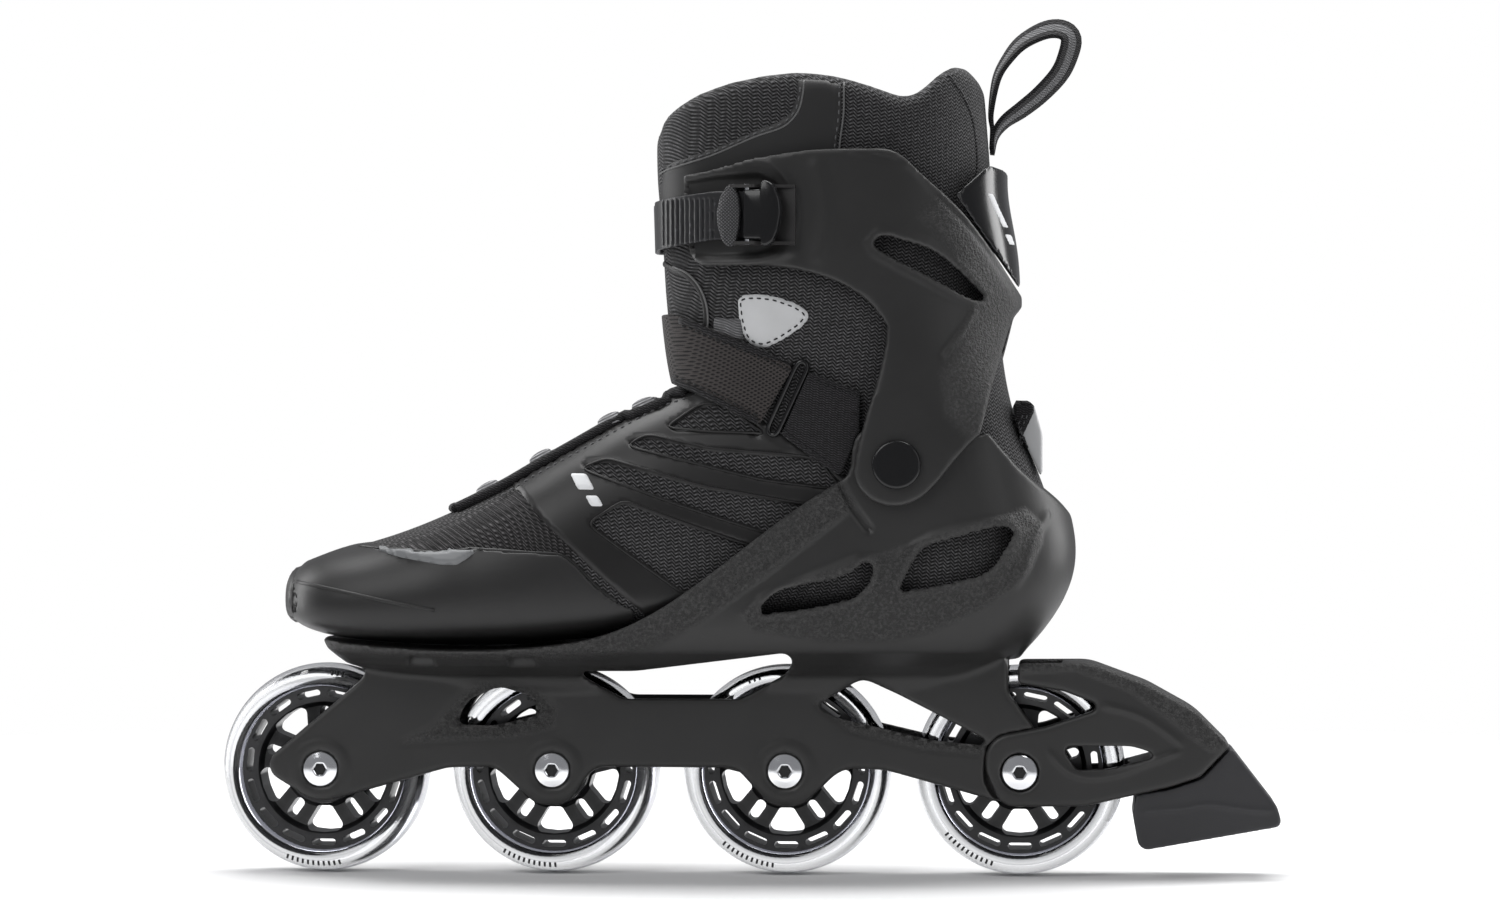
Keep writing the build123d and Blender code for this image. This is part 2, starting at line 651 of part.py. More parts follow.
with BuildPart() as buckle_pawl:
    # lens-shaped thumb tab
    with BuildSketch(buckle.offset(6.2)):
        with BuildLine():
            ThreePointArc((-11.4, -9.8), (-14.6, 0), (-11.4, 9.8))
            ThreePointArc((-11.4, 9.8), (-8.0, 0), (-11.4, -9.8))
        make_face()
    extrude(amount=2.4)
    # tooth
    with BuildSketch(buckle.offset(5.1)):
        with Locations((-8.9, 0)):
            Rectangle(1.0, 8)
    extrude(amount=1.3)
    with BuildSketch(across_buckle(12)):
        with Locations((pawl_pin_u, pawl_pin_n)):
            Circle(pin_radius + 0.05)
    extrude(amount=24, mode=Mode.SUBTRACT)
    # pocket for the spring round the pin
    with BuildSketch(across_buckle(3)):
        with Locations((pawl_pin_u, pawl_pin_n)):
            Circle(2.1)
    extrude(amount=6, mode=Mode.SUBTRACT)
write("buckle_pawl", buckle_pawl.part)

with BuildPart() as pawl_spring:
    with BuildLine() as coil:
        Helix(pitch=0.62, height=4.96, radius=1.42)
    with BuildSketch(Plane(origin=coil.line @ 0, z_dir=coil.line % 0)):
        Circle(0.22)
    sweep()
spring_place = Plane(origin=buckle.from_local_coords((pawl_pin_u, -2.48, pawl_pin_n)), z_dir=buckle.y_dir)
write("pawl_spring", pawl_spring.part.moved(spring_place.location))

with BuildPart() as strap_bolt:
    with BuildSketch(Plane((36, 46.6, 249.6), z_dir=(0, 1, 0))):
        Circle(2.5)
    extrude(amount=6.6)
    with BuildSketch(Plane((36, 53.1, 249.6), z_dir=(0, 1, 0))):
        Circle(5)
    extrude(amount=1.6)
    fillet(strap_bolt.faces().sort_by(Axis.Y)[-1].edges(), 0.8)
write("ladder_strap_bolt", strap_bolt.part)

# ---------------------------------------------------------------- ankle hinge
with BuildPart() as pivot_bolts:
    for side in (-1, 1):
        with BuildSketch(Plane((pivot_x, side * 39.6, pivot_z), z_dir=(0, side, 0))):
            Circle(7.4)
        extrude(amount=1.1)
        with BuildSketch(Plane((pivot_x, side * 40.4, pivot_z), z_dir=(0, side, 0))):
            Circle(pivot_radius)
        extrude(amount=8.4)
write("pivot_bolts", pivot_bolts.part)

with BuildPart() as pivot_caps:
    for side in (-1, 1):
        with BuildSketch(Plane((pivot_x, side * 48.85, pivot_z), z_dir=(0, side, 0))):
            Circle(pivot_cap_radius)
        extrude(amount=1.7)
    fillet([f.edges().filter_by(GeomType.CIRCLE)[0] for f in (pivot_caps.faces().sort_by(Axis.Y)[0],
                                                             pivot_caps.faces().sort_by(Axis.Y)[-1])], 1.2)
write("pivot_caps", pivot_caps.part)

# ---------------------------------------------------------------- brake
arm_face = corner_face(arm_side)
with BuildPart() as brake_arm:
    add(slab(arm_face, -19.5, 19.5))
    fillet(brake_arm.faces().filter_by(Axis.Y).edges().filter_by(lambda e: e.center().X > 140), 1.6)
    add(slab(corner_face(arm_window), -30, 30), mode=Mode.SUBTRACT)
    # room for the frame's rear boss in front and for the wheel behind
    with BuildSketch(Plane.XY.offset(10)):
        with Locations((rear_axle_x - 12, 0)):
            Rectangle(56, 30.6)
    extrude(amount=100, mode=Mode.SUBTRACT)
    add(cylinder(rear_axle_x, axle_height, wheel_radius + 2, -13.9, 13.9), mode=Mode.SUBTRACT)
    add(sole_solid(skirt_stations, True), mode=Mode.SUBTRACT)
    for side in (-1, 1):
        axle_bore = cylinder(rear_axle_x, axle_height, axle_radius + 0.06, *sorted((side * 12, side * 25)))
        add(axle_bore, mode=Mode.SUBTRACT)
        counterbore = cylinder(rear_axle_x, axle_height, counterbore_radius, *sorted((side * 16.9, side * 25)))
        add(counterbore, mode=Mode.SUBTRACT)
write("brake_arm", brake_arm.part)

with BuildPart() as brake_pad:
    add(slab(corner_face(pad_side), -17, 17))
    add(slab(arm_face, -40, 40), mode=Mode.SUBTRACT)
write("brake_pad", brake_pad.part)

# ---------------------------------------------------------------- axles and wheels
with BuildPart() as axle_bolts:
    for x in axle_xs:
        seat = 16.95 if x == rear_axle_x else bolt_head_seat + 0.05
        with BuildSketch(Plane((x, -seat, axle_height), z_dir=(0, -1, 0))):
            Circle(bolt_head_radius)
        extrude(amount=2.2)
        with BuildSketch(Plane((x, -seat, axle_height), z_dir=(0, 1, 0))):
            Circle(axle_radius)
        extrude(amount=2 * seat - 0.2)
        with BuildSketch(Plane((x, seat, axle_height), z_dir=(0, -1, 0))):
            Circle(2.6)
        extrude(amount=12, mode=Mode.SUBTRACT)
write("axle_bolts", axle_bolts.part)

with BuildPart() as axle_screws:
    for x in axle_xs:
        seat = 16.95 if x == rear_axle_x else bolt_head_seat + 0.05
        with BuildSketch(Plane((x, seat, axle_height), z_dir=(0, 1, 0))):
            Circle(bolt_head_radius)
        extrude(amount=2.2)
        with BuildSketch(Plane((x, seat, axle_height), z_dir=(0, -1, 0))):
            Circle(2.5)
        extrude(amount=11.5)
write("axle_screws", axle_screws.part)


def ring(outline, x):
    """A solid turned about an axle from (radius, y) corners."""
    with BuildPart() as body:
        with BuildSketch(Plane.XY):
            with BuildLine():
                Polyline(*outline, close=True)
            make_face()
        revolve(axis=Axis.Y)
    return body.part.moved(Location((x, 0, axle_height)))


spacers = [ring([(4.02, -5.1), (5.6, -5.1), (5.6, 5.1), (4.02, 5.1)], x) for x in axle_xs]
write("bearing_spacers", Compound(children=spacers))
inner_rings = [
    ring([(4.02, side * a) for a in (5.15, 12.1)] + [(5.9, side * a) for a in (12.1, 5.15)], x)
    for x in axle_xs
    for side in (-1, 1)
]
write("bearing_inner_rings", Compound(children=inner_rings))

spoke_window = corner_face(
    [(14.6, -2.6, 1.8), (24.0, -8.4, 2.4), (24.9, 0, 6), (24.0, 8.4, 2.4), (14.6, 2.6, 1.8)]
)
for n, x in enumerate(axle_xs, start=1):
    # outer ring and its two shields, hollow between them for the balls
    race = [
        (6.3, 5.2), (10.98, 5.2), (10.98, 12.1), (6.3, 12.1),
        (6.3, 11.6), (9.35, 11.6), (9.35, 5.7), (6.3, 5.7),
    ]
    write(f"bearings_{n}", Compound(children=[ring([(r, side * a) for r, a in race], x) for side in (-1, 1)]))
    with BuildPart() as balls:
        for side in (-1, 1):
            with Locations(Location((x, side * 8.65, axle_height), (90, 0, 0))):
                with PolarLocations(7.63, 7):
                    Sphere(1.66)
    write(f"bearing_balls_{n}", balls.part)

    with BuildPart() as hub:
        with BuildSketch(Plane.XY):
            with BuildLine():
                Polyline(
                    (9.4, -5.0), (11.0, -5.0), (11.0, -12.4), (13.4, -12.4), (13.8, -9.0), (15.5, -6.4),
                    (23.6, -6.0), (25.4, -9.0), (31.4, -9.4), (31.4, -4.6), (34.2, -4.2),
                    (34.2, 4.2), (31.4, 4.6), (31.4, 9.4), (25.4, 9.0), (23.6, 6.0), (15.5, 6.4), (13.8, 9.0),
                    (13.4, 12.4), (11.0, 12.4), (11.0, 5.0), (9.4, 5.0),
                    close=True,
                )
            make_face()
        revolve(axis=Axis.Y)
        # five wide windows, five narrow ones between them, and short slots round the rim
        with BuildSketch(Plane.XZ.offset(-20)) as lights:
            with PolarLocations(0, 5, start_angle=270):
                add(spoke_window)
            with PolarLocations(19.2, 5, start_angle=306):
                SlotOverall(8.6, 4.0)
            with PolarLocations(28.6, 15, start_angle=270):
                SlotOverall(9.2, 2.5, rotation=90)
        extrude(amount=40, mode=Mode.SUBTRACT)
    write(f"hub_{n}", hub.part.moved(Location((x, 0, axle_height))))

    with BuildPart() as tyre:
        with BuildSketch(Plane.XY):
            with BuildLine():
                Polyline(
                    (31.46, -9.6), (31.46, -4.66), (34.26, -4.26), (34.26, 4.26), (31.46, 4.66), (31.46, 9.6)
                )
                Spline((31.46, 9.6), (33.0, 11.5), (35.2, 11.8), (37.8, 9.6), (39.4, 5.4), (wheel_radius, 0),
                       (39.4, -5.4), (37.8, -9.6), (35.2, -11.8), (33.0, -11.5), (31.46, -9.6))
            make_face()
        revolve(axis=Axis.Y)
    write(f"tyre_{n}", tyre.part.moved(Location((x, 0, axle_height))))
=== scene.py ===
import json, math
import bpy, bmesh
import numpy as np
from mathutils import Vector, Matrix, noise
from mathutils.bvhtree import BVHTree
from mathutils.geometry import delaunay_2d_cdt


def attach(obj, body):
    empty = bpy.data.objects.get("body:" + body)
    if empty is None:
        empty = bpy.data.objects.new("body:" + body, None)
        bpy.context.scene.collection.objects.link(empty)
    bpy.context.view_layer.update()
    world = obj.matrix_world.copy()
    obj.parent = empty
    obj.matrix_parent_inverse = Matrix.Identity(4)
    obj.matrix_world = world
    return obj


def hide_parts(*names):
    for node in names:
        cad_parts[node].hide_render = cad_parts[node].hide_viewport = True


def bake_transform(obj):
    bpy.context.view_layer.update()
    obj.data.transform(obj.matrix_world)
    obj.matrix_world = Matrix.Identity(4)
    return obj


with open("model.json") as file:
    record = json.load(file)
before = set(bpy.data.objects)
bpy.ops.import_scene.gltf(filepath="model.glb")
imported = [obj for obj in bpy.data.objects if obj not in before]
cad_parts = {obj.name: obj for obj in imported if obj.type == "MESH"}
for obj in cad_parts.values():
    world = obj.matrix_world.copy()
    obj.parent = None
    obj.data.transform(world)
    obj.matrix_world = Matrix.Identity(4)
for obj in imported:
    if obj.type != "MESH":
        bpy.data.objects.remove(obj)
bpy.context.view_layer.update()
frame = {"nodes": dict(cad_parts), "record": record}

MM = 0.001

# ------------------------------------------------------------------ camera, light and stage
scene = bpy.context.scene
target, yaw, distance = Vector((0.030, 0, 0.162)), math.radians(3.93), 1.748
cam = bpy.data.objects.new("camera", bpy.data.cameras.new("camera"))
scene.collection.objects.link(cam)
cam.data.lens, cam.data.sensor_width = 109.3, 36
cam.location = target + Vector((math.sin(yaw), -math.cos(yaw), 0)) * distance
cam.rotation_euler = (math.radians(90), 0, yaw)
cam.data.clip_start, cam.data.clip_end = 0.05, 50
scene.camera = cam
scene.view_settings.view_transform = "Standard"


def lamp(name, size, power, place, aim=(0.03, 0, 0.16), colour=(1, 1, 1)):
    data = bpy.data.lights.new(name, "AREA")
    data.shape, data.size, data.size_y = "RECTANGLE", size[0], size[1]
    data.energy, data.color = power, colour
    o = bpy.data.objects.new(name, data)
    o.location = place
    o.rotation_euler = (Vector(aim) - Vector(place)).to_track_quat("-Z", "Y").to_euler()
    scene.collection.objects.link(o)
    return o


lamp("key", (0.9, 1.1), 11, (-0.75, -1.15, 1.15))
lamp("top", (1.6, 0.7), 26, (0.05, 0.25, 1.45))
lamp("fill", (0.6, 1.4), 3.5, (1.3, -1.2, 0.5))
lamp("rim_left", (0.4, 1.2), 9, (-1.15, 0.45, 0.45))
lamp("rim_right", (0.4, 1.2), 11, (1.2, 0.5, 0.55))

# the backdrop is white paper; the room around it is dimmer
world = scene.world or bpy.data.worlds.new("world")
scene.world = world
world.use_nodes = True
wt = world.node_tree
room, paper = wt.nodes["Background"], wt.nodes.new("ShaderNodeBackground")
room.inputs[0].default_value, room.inputs[1].default_value = (0.95, 0.96, 1.0, 1), 0.25
paper.inputs[0].default_value, paper.inputs[1].default_value = (1, 1, 1, 1), 1.0
path, seen, blend = wt.nodes.new("ShaderNodeLightPath"), wt.nodes.new("ShaderNodeMath"), wt.nodes.new("ShaderNodeMixShader")
seen.operation = "MAXIMUM"
wt.links.new(path.outputs["Is Camera Ray"], seen.inputs[0])
wt.links.new(path.outputs["Is Transmission Ray"], seen.inputs[1])
wt.links.new(seen.outputs[0], blend.inputs[0])
wt.links.new(room.outputs[0], blend.inputs[1])
wt.links.new(paper.outputs[0], blend.inputs[2])
wt.links.new(blend.outputs[0], wt.nodes["World Output"].inputs[0])


# ------------------------------------------------------------------ materials
def material(name, colour, rough=0.5, **sockets):
    m = bpy.data.materials.new(name)
    m.use_nodes = True
    b = m.node_tree.nodes["Principled BSDF"]
    b.inputs["Base Color"].default_value = (*colour, 1)
    b.inputs["Roughness"].default_value = rough
    for k, v in sockets.items():
        b.inputs[k.replace("_", " ")].default_value = v
    return m


class Nodes:
    """Short names for building a material's nodes."""

    def __init__(self, m):
        self.m, self.t = m, m.node_tree
        self.b = m.node_tree.nodes["Principled BSDF"]
        self.coord = self.add("ShaderNodeTexCoord").outputs["Object"]

    def add(self, kind, **inputs):
        n = self.t.nodes.new(kind)
        for k, v in inputs.items():
            self.put(n.inputs[int(k[1:])] if k[0] == "i" and k[1:].isdigit() else n.inputs[k.replace("_", " ")], v)
        return n

    def put(self, socket, v):
        if hasattr(v, "is_output"):
            self.t.links.new(v, socket)
        elif hasattr(v, "outputs"):
            self.t.links.new(v.outputs[0], socket)
        else:
            socket.default_value = v

    def math(self, op, a, b=0.0, c=None, clamp=False):
        n = self.t.nodes.new("ShaderNodeMath")
        n.operation, n.use_clamp = op, clamp
        self.put(n.inputs[0], a)
        self.put(n.inputs[1], b)
        if c is not None:
            self.put(n.inputs[2], c)
        return n.outputs[0]

    def noise(self, scale, detail=3, rough=0.5, vector=None):
        return self.add("ShaderNodeTexNoise", Vector=vector or self.coord, Scale=scale, Detail=detail, Roughness=rough).outputs["Fac"]

    def voronoi(self, scale, vector=None, feature="F1"):
        n = self.add("ShaderNodeTexVoronoi", Vector=vector or self.coord, Scale=scale)
        n.feature = feature
        return n.outputs["Distance"]

    def ramp(self, value, *stops):
        n = self.add("ShaderNodeValToRGB", Fac=value)
        e = n.color_ramp.elements
        while len(e) < len(stops):
            e.new(0.5)
        for k, (p, c) in enumerate(stops):
            e[k].position, e[k].color = p, (*c, 1) if len(c) == 3 else c
        return n.outputs["Color"]

    def grey(self, value, *stops):
        return self.ramp(value, *[(p, (c, c, c)) for p, c in stops])

    def mix(self, fac, a, b):
        n = self.t.nodes.new("ShaderNodeMix")
        n.data_type = "RGBA"
        self.put(n.inputs[0], fac)
        self.put(n.inputs[6], (*a, 1) if isinstance(a, tuple) and len(a) == 3 else a)
        self.put(n.inputs[7], (*b, 1) if isinstance(b, tuple) and len(b) == 3 else b)
        return n.outputs[2]

    def attribute(self, name):
        n = self.t.nodes.new("ShaderNodeAttribute")
        n.attribute_name = name
        return n.outputs["Fac"]

    def bump(self, height, strength=0.3, distance=0.0002, normal=None):
        n = self.add("ShaderNodeBump", Height=height, Strength=strength, Distance=distance)
        if normal is not None:
            self.put(n.inputs["Normal"], normal)
        return n.outputs["Normal"]

    def scaled(self, x, y, z, source=None, turn=(0, 0, 0)):
        n = self.add("ShaderNodeMapping", Vector=source or self.coord)
        n.inputs["Scale"].default_value = (x, y, z)
        n.inputs["Rotation"].default_value = turn
        return n.outputs[0]

    def split(self, v):
        return self.add("ShaderNodeSeparateXYZ", Vector=v).outputs


def plastic(name, colour, rough, grain=0.12, grain_scale=2600, spread=0.06, zone=None, shine=0.4, edge_highlight=0.8):
    """Moulded plastic: fine spark-eroded grain, slight unevenness and scuffs; zone names a coarse-grained area."""
    m = material(name, colour, rough, Specular_IOR_Level=shine)
    n = Nodes(m)
    fine = n.noise(grain_scale, 2, 0.6)
    cloud = n.noise(38, 4, 0.55)
    scuff = n.noise(420, 5, 0.7, n.scaled(1, 1, 0.25))
    r = n.math("ADD", n.math("MULTIPLY", cloud, spread), rough - spread * 0.5)
    r = n.math("ADD", r, n.math("MULTIPLY", scuff, 0.05))
    height = n.math("MULTIPLY", fine, 1.0)
    strength = grain
    c0 = tuple(v * 0.82 for v in colour)
    c1 = tuple(v * 1.25 for v in colour)
    colour_out = n.mix(cloud, c0, c1)
    normal = n.bump(height, strength, 0.00012)
    if zone:
        z = n.attribute(zone)
        pits = n.voronoi(1100)
        lumps = n.noise(850, 4, 0.7)
        coarse = n.math("ADD", n.math("MULTIPLY", lumps, 1.3), n.math("MULTIPLY", pits, 0.5))
        normal = n.bump(n.math("MULTIPLY", coarse, z), 1.0, 0.0007, normal)
        r = n.math("ADD", r, n.math("MULTIPLY", z, 0.10))
        speck = n.grey(lumps, (0.45, 0.0), (0.68, 1.0))
        colour_out = n.mix(n.math("MULTIPLY", z, speck), colour_out, tuple(v * 2.6 + 0.012 for v in colour))
    # painted highlight: convex edges, found by pointiness, are lightened in the colour of dark plastics
    edge = n.grey(n.add("ShaderNodeNewGeometry").outputs["Pointiness"], (0.515, 0.0), (0.60, 1.0))
    edge_highlight = edge_highlight if max(colour) < 0.05 else 0.0
    colour_out = n.mix(n.math("MULTIPLY", edge, edge_highlight), colour_out, tuple(v * 3.4 + 0.01 for v in colour))
    n.put(n.b.inputs["Roughness"], r)
    n.put(n.b.inputs["Base Color"], colour_out)
    n.put(n.b.inputs["Normal"], normal)
    return m


shell_mat = plastic("shell_plastic", (0.0165, 0.0162, 0.0160), 0.40, 0.16, zone="zone")
gloss_mat = plastic("gloss_plastic", (0.006, 0.006, 0.0065), 0.16, 0.03, spread=0.05)
strap_mat = plastic("strap_plastic", (0.012, 0.012, 0.0135), 0.36, 0.1)
toe_mat = plastic("toe_plastic", (0.0130, 0.0127, 0.0127), 0.42, 0.14, 3200)
hub_mat = plastic("hub_plastic", (0.0055, 0.0055, 0.006), 0.30, 0.06)
pad_mat = plastic("brake_rubber", (0.022, 0.022, 0.024), 0.55, 0.3, 1700)


def metal(name, colour, rough, brushed=0.03):
    m = material(name, colour, rough, Metallic=1.0)
    n = Nodes(m)
    lines = n.noise(900, 4, 0.6, n.scaled(1, 12, 1))
    n.put(n.b.inputs["Roughness"], n.math("ADD", n.math("MULTIPLY", lines, brushed * 2), rough - brushed))
    n.put(n.b.inputs["Normal"], n.bump(lines, 0.06, 0.00005))
    return m


chrome_mat = metal("chromed_steel", (0.82, 0.83, 0.85), 0.12)
steel_mat = metal("bearing_steel", (0.52, 0.53, 0.55), 0.26, 0.06)

tyre_mat = material("clear_tyre", (0.93, 0.945, 0.96), 0.04, Transmission_Weight=1.0, IOR=1.5)
n = Nodes(tyre_mat)
haze = n.noise(260, 3, 0.6)
n.put(n.b.inputs["Roughness"], n.math("ADD", n.math("MULTIPLY", haze, 0.05), 0.02))
n.put(n.b.inputs["Normal"], n.bump(n.noise(55, 2), 0.05, 0.0006))
# the colour is darker towards the hub and at the running edge
x, y, z = n.split(n.coord)
across = n.math("SUBTRACT", n.math("WRAP", x, 89 * MM, 0.0), 44.5 * MM)
high = n.math("SUBTRACT", z, 40 * MM)
radius = n.math("SQRT", n.math("ADD", n.math("MULTIPLY", across, across), n.math("MULTIPLY", high, high)))
tone_by_radius = n.grey(n.math("MULTIPLY", radius, 20), (0.630, 0.0), (0.665, 0.30), (0.705, 1.0), (0.765, 0.95), (0.795, 0.25))
clear = n.mix(n.noise(30, 2), (0.70, 0.71, 0.725), (0.86, 0.865, 0.875))
n.put(n.b.inputs["Base Color"], n.mix(tone_by_radius, (0.16, 0.165, 0.20), clear))


def knit(name, colour, pitch=1.1, wide=1.0, depth=0.5, rough=0.85, sheen=0.1, lift=2.0, chevron=0.5, gap_shade=0.3, lean=0.35, bands=0.0):
    """Knitted mesh: rows of small V-shaped loops over the side faces, wrapped round by the distance across."""
    m = material(name, colour, rough, Sheen_Weight=sheen, Sheen_Roughness=0.45, Specular_IOR_Level=0.25)
    n = Nodes(m)
    x, y, z = n.split(n.coord)
    u = n.math("ADD", x, n.math("MULTIPLY", y, 0.83))
    k = 1 / (pitch * MM)
    drift = n.math("MULTIPLY", n.math("SUBTRACT", n.noise(45, 2), 0.5), 0.9)
    a = n.math("ADD", n.math("MULTIPLY", u, k / wide), drift)
    vee = n.math("PINGPONG", a, 1.0)
    row = n.math("MULTIPLY", n.math("ADD", z, n.math("MULTIPLY", x, lean)), k)
    row = n.math("ADD", row, n.math("MULTIPLY", vee, chevron))
    ridge = n.math("SINE", n.math("MULTIPLY", row, 2 * math.pi))
    stitch = n.math("SINE", n.math("MULTIPLY", a, 2 * math.pi))
    loops = n.math("ADD", n.math("MULTIPLY", ridge, 0.6), n.math("MULTIPLY", n.math("MULTIPLY", stitch, ridge), 0.4))
    fluff = n.noise(3600, 3, 0.7)
    height = n.math("ADD", n.math("MULTIPLY", loops, 0.5), n.math("MULTIPLY", fluff, 0.25))
    n.put(n.b.inputs["Normal"], n.bump(height, depth, 0.0005))
    # painted highlight and shade: the colour is lightened on the loops' tops and darkened between them, as light falls
    # on the knit
    loop_highlight = n.grey(n.math("ADD", n.math("MULTIPLY", loops, 0.5), 0.5), (0.36, 0.0), (0.98, 1.0))
    if bands:
        cols = n.math("SINE", n.math("MULTIPLY", u, 2 * math.pi / (bands * MM)))
        loop_highlight = n.math("MULTIPLY", loop_highlight, n.grey(n.math("ADD", n.math("MULTIPLY", cols, 0.5), 0.5), (0.1, 0.25), (0.7, 1.0)))
    patchy = n.grey(n.noise(700, 3, 0.7), (0.30, 0.35), (0.68, 1.0))
    n.put(n.b.inputs["Base Color"], n.mix(n.math("MULTIPLY", loop_highlight, patchy), tuple(v * gap_shade for v in colour), tuple(v * lift for v in colour)))
    return m


def netting(name, colour, pitch, tint):
    """Woven band with a diamond net over a darker ground."""
    m = material(name, colour, 0.8, Sheen_Weight=0.1, Sheen_Roughness=0.45, Specular_IOR_Level=0.25)
    n = Nodes(m)
    x, y, z = n.split(n.coord)
    u = n.math("ADD", x, n.math("MULTIPLY", y, 0.83))
    k = math.pi / (pitch * MM)
    a = n.math("SINE", n.math("MULTIPLY", n.math("ADD", n.math("MULTIPLY", u, 0.80), z), k))
    b = n.math("SINE", n.math("MULTIPLY", n.math("SUBTRACT", n.math("MULTIPLY", u, 0.62), z), k))
    hole = n.math("MULTIPLY", n.math("MULTIPLY", a, a), n.math("MULTIPLY", b, b))
    threads = n.noise(3000, 3, 0.7)
    n.put(n.b.inputs["Normal"], n.bump(n.math("ADD", n.math("MULTIPLY", hole, -1.0), n.math("MULTIPLY", threads, 0.4)), 0.9, 0.0004))
    ground = n.mix(n.noise(26, 3, 0.6), tuple(v * 0.75 for v in tint), tuple(v * 1.25 for v in tint))
    ground = n.mix(n.math("MULTIPLY", threads, 0.6), ground, tuple(v * 1.9 for v in tint))
    n.put(n.b.inputs["Base Color"], n.mix(n.grey(hole, (0.12, 0.0), (0.55, 1.0)), ground, colour))
    return m


def knurled(name, colour, rough, pitch, turn):
    """Moulded plastic with a raised diamond pattern across the pad's face."""
    m = plastic(name, colour, rough, 0.05)
    n = Nodes(m)
    u, v, w = n.split(n.scaled(1, 1, 1, turn=turn))
    k = math.pi / (pitch * MM)
    a = n.math("ABSOLUTE", n.math("SINE", n.math("MULTIPLY", n.math("ADD", u, w), k)))
    b = n.math("ABSOLUTE", n.math("SINE", n.math("MULTIPLY", n.math("SUBTRACT", u, w), k)))
    studs = n.math("MINIMUM", a, b)
    n.put(n.b.inputs["Normal"], n.bump(studs, 1.0, 0.0005))
    # painted highlight and shade: the colour is lightened on the diamonds' raised tops and darkened in the grooves
    n.put(n.b.inputs["Base Color"], n.mix(studs, tuple(c * 0.25 for c in colour), tuple(c * 6.0 for c in colour)))
    return m


mesh_mat = knit("knit_mesh", (0.0165, 0.0163, 0.0168), 1.35, 1.15, 1.0, lift=10.5, chevron=0.8, gap_shade=0.24)
toe_mesh = knit("toe_mesh", (0.0155, 0.0148, 0.0152), 1.25, 1.0, 1.0, lift=9.0, chevron=0.6, lean=0.6, bands=2.3)
web_mat = knit("webbing", (0.0135, 0.013, 0.014), 0.9, 1.3, 0.6, lift=4.5)
lace_mat = knit("lace_braid", (0.30, 0.30, 0.31), 1.25, 6.0, 0.9, lift=2.0, gap_shade=0.35, chevron=0.2, lean=-0.5)
thread_mat = plastic("thread", (0.012, 0.012, 0.013), 0.6, 0.3, 5200)
pale_thread = plastic("pale_thread", (0.085, 0.085, 0.088), 0.6, 0.3, 5200)
synth_mat = plastic("smooth_synthetic", (0.0105, 0.0102, 0.0104), 0.5, 0.22, 1900)
# pale grey lines laid along the collar panel's edges and the flap's edge
edge_mat = plastic("pale_edge_line", (0.10, 0.10, 0.10), 0.5, 0.2, 2400)
grey_mat = plastic("reflective_grey", (0.17, 0.175, 0.18), 0.42, 0.2, 3600)
silver_mat = plastic("reflective_silver", (0.50, 0.505, 0.51), 0.45, 0.18, 3200)
print_mat = plastic("printed_mark", (0.72, 0.73, 0.74), 0.5, 0.1)
elastic_mat = knit("elastic", (0.16, 0.16, 0.165), 1.0, 3.0, 0.7, lift=1.8, gap_shade=0.5)
strap_cloth = netting("strap_cloth", (0.0045, 0.004, 0.004), 1.5, (0.036, 0.0315, 0.0305))
knurl_mat = knurled("knurled_tab", (0.022, 0.022, 0.023), 0.40, 1.25, (0, 0, -0.19))

SLOTS = dict(shell_plastic=shell_mat, gloss_plastic=gloss_mat, strap_plastic=strap_mat, toe_plastic=toe_mat, mesh_fabric=mesh_mat,
             webbing=web_mat, lace=lace_mat, chromed_steel=chrome_mat, bearing_steel=steel_mat, hub_plastic=hub_mat,
             clear_tyre=tyre_mat, brake_rubber=pad_mat)
cad = frame["nodes"]
slot_of = {s["node"]: s["material_slot"] for s in frame["record"]["subparts"]}
for name, o in cad.items():
    o.data.materials.clear()
    o.data.materials.append(SLOTS[slot_of[name]])
    o.data.shade_smooth()
    o.data.set_sharp_from_angle(angle=math.radians(32))

#BODY
# ------------------------------------------------------------------ mesh helpers
def new_object(name, verts, faces, mat=None, smooth=True):
    me = bpy.data.meshes.new(name)
    me.from_pydata([tuple(v) for v in verts], [], faces)
    me.validate()
    if smooth:
        me.shade_smooth()
    o = bpy.data.objects.new(name, me)
    scene.collection.objects.link(o)
    if mat:
        me.materials.append(mat)
    return o


def bake(o):
    """The object's modifiers applied to its own mesh."""
    dg = bpy.context.evaluated_depsgraph_get()
    me = bpy.data.meshes.new_from_object(o.evaluated_get(dg))
    old = o.data
    o.modifiers.clear()
    o.data = me
    if old.users == 0:
        bpy.data.meshes.remove(old)
    return o


def remesh(o, voxel):
    m = o.modifiers.new("remesh", "REMESH")
    m.mode, m.voxel_size, m.adaptivity = "VOXEL", voxel * MM, 0
    m.use_smooth_shade = True
    return bake(o)


def relax(o, factor=0.5, rounds=4):
    m = o.modifiers.new("smooth", "SMOOTH")
    m.factor, m.iterations = factor, rounds
    return bake(o)


def boolean(o, other, kind="DIFFERENCE"):
    m = o.modifiers.new("cut", "BOOLEAN")
    m.operation, m.object, m.solver = kind, other, "MANIFOLD"
    return bake(o)


def drop(o):
    me = o.data
    bpy.data.objects.remove(o)
    bpy.data.meshes.remove(me)


def points_of(o):
    a = np.empty(len(o.data.vertices) * 3)
    o.data.vertices.foreach_get("co", a)
    return a.reshape(-1, 3)


def set_points(o, a):
    o.data.vertices.foreach_set("co", np.ascontiguousarray(a, float).ravel())
    o.data.update()


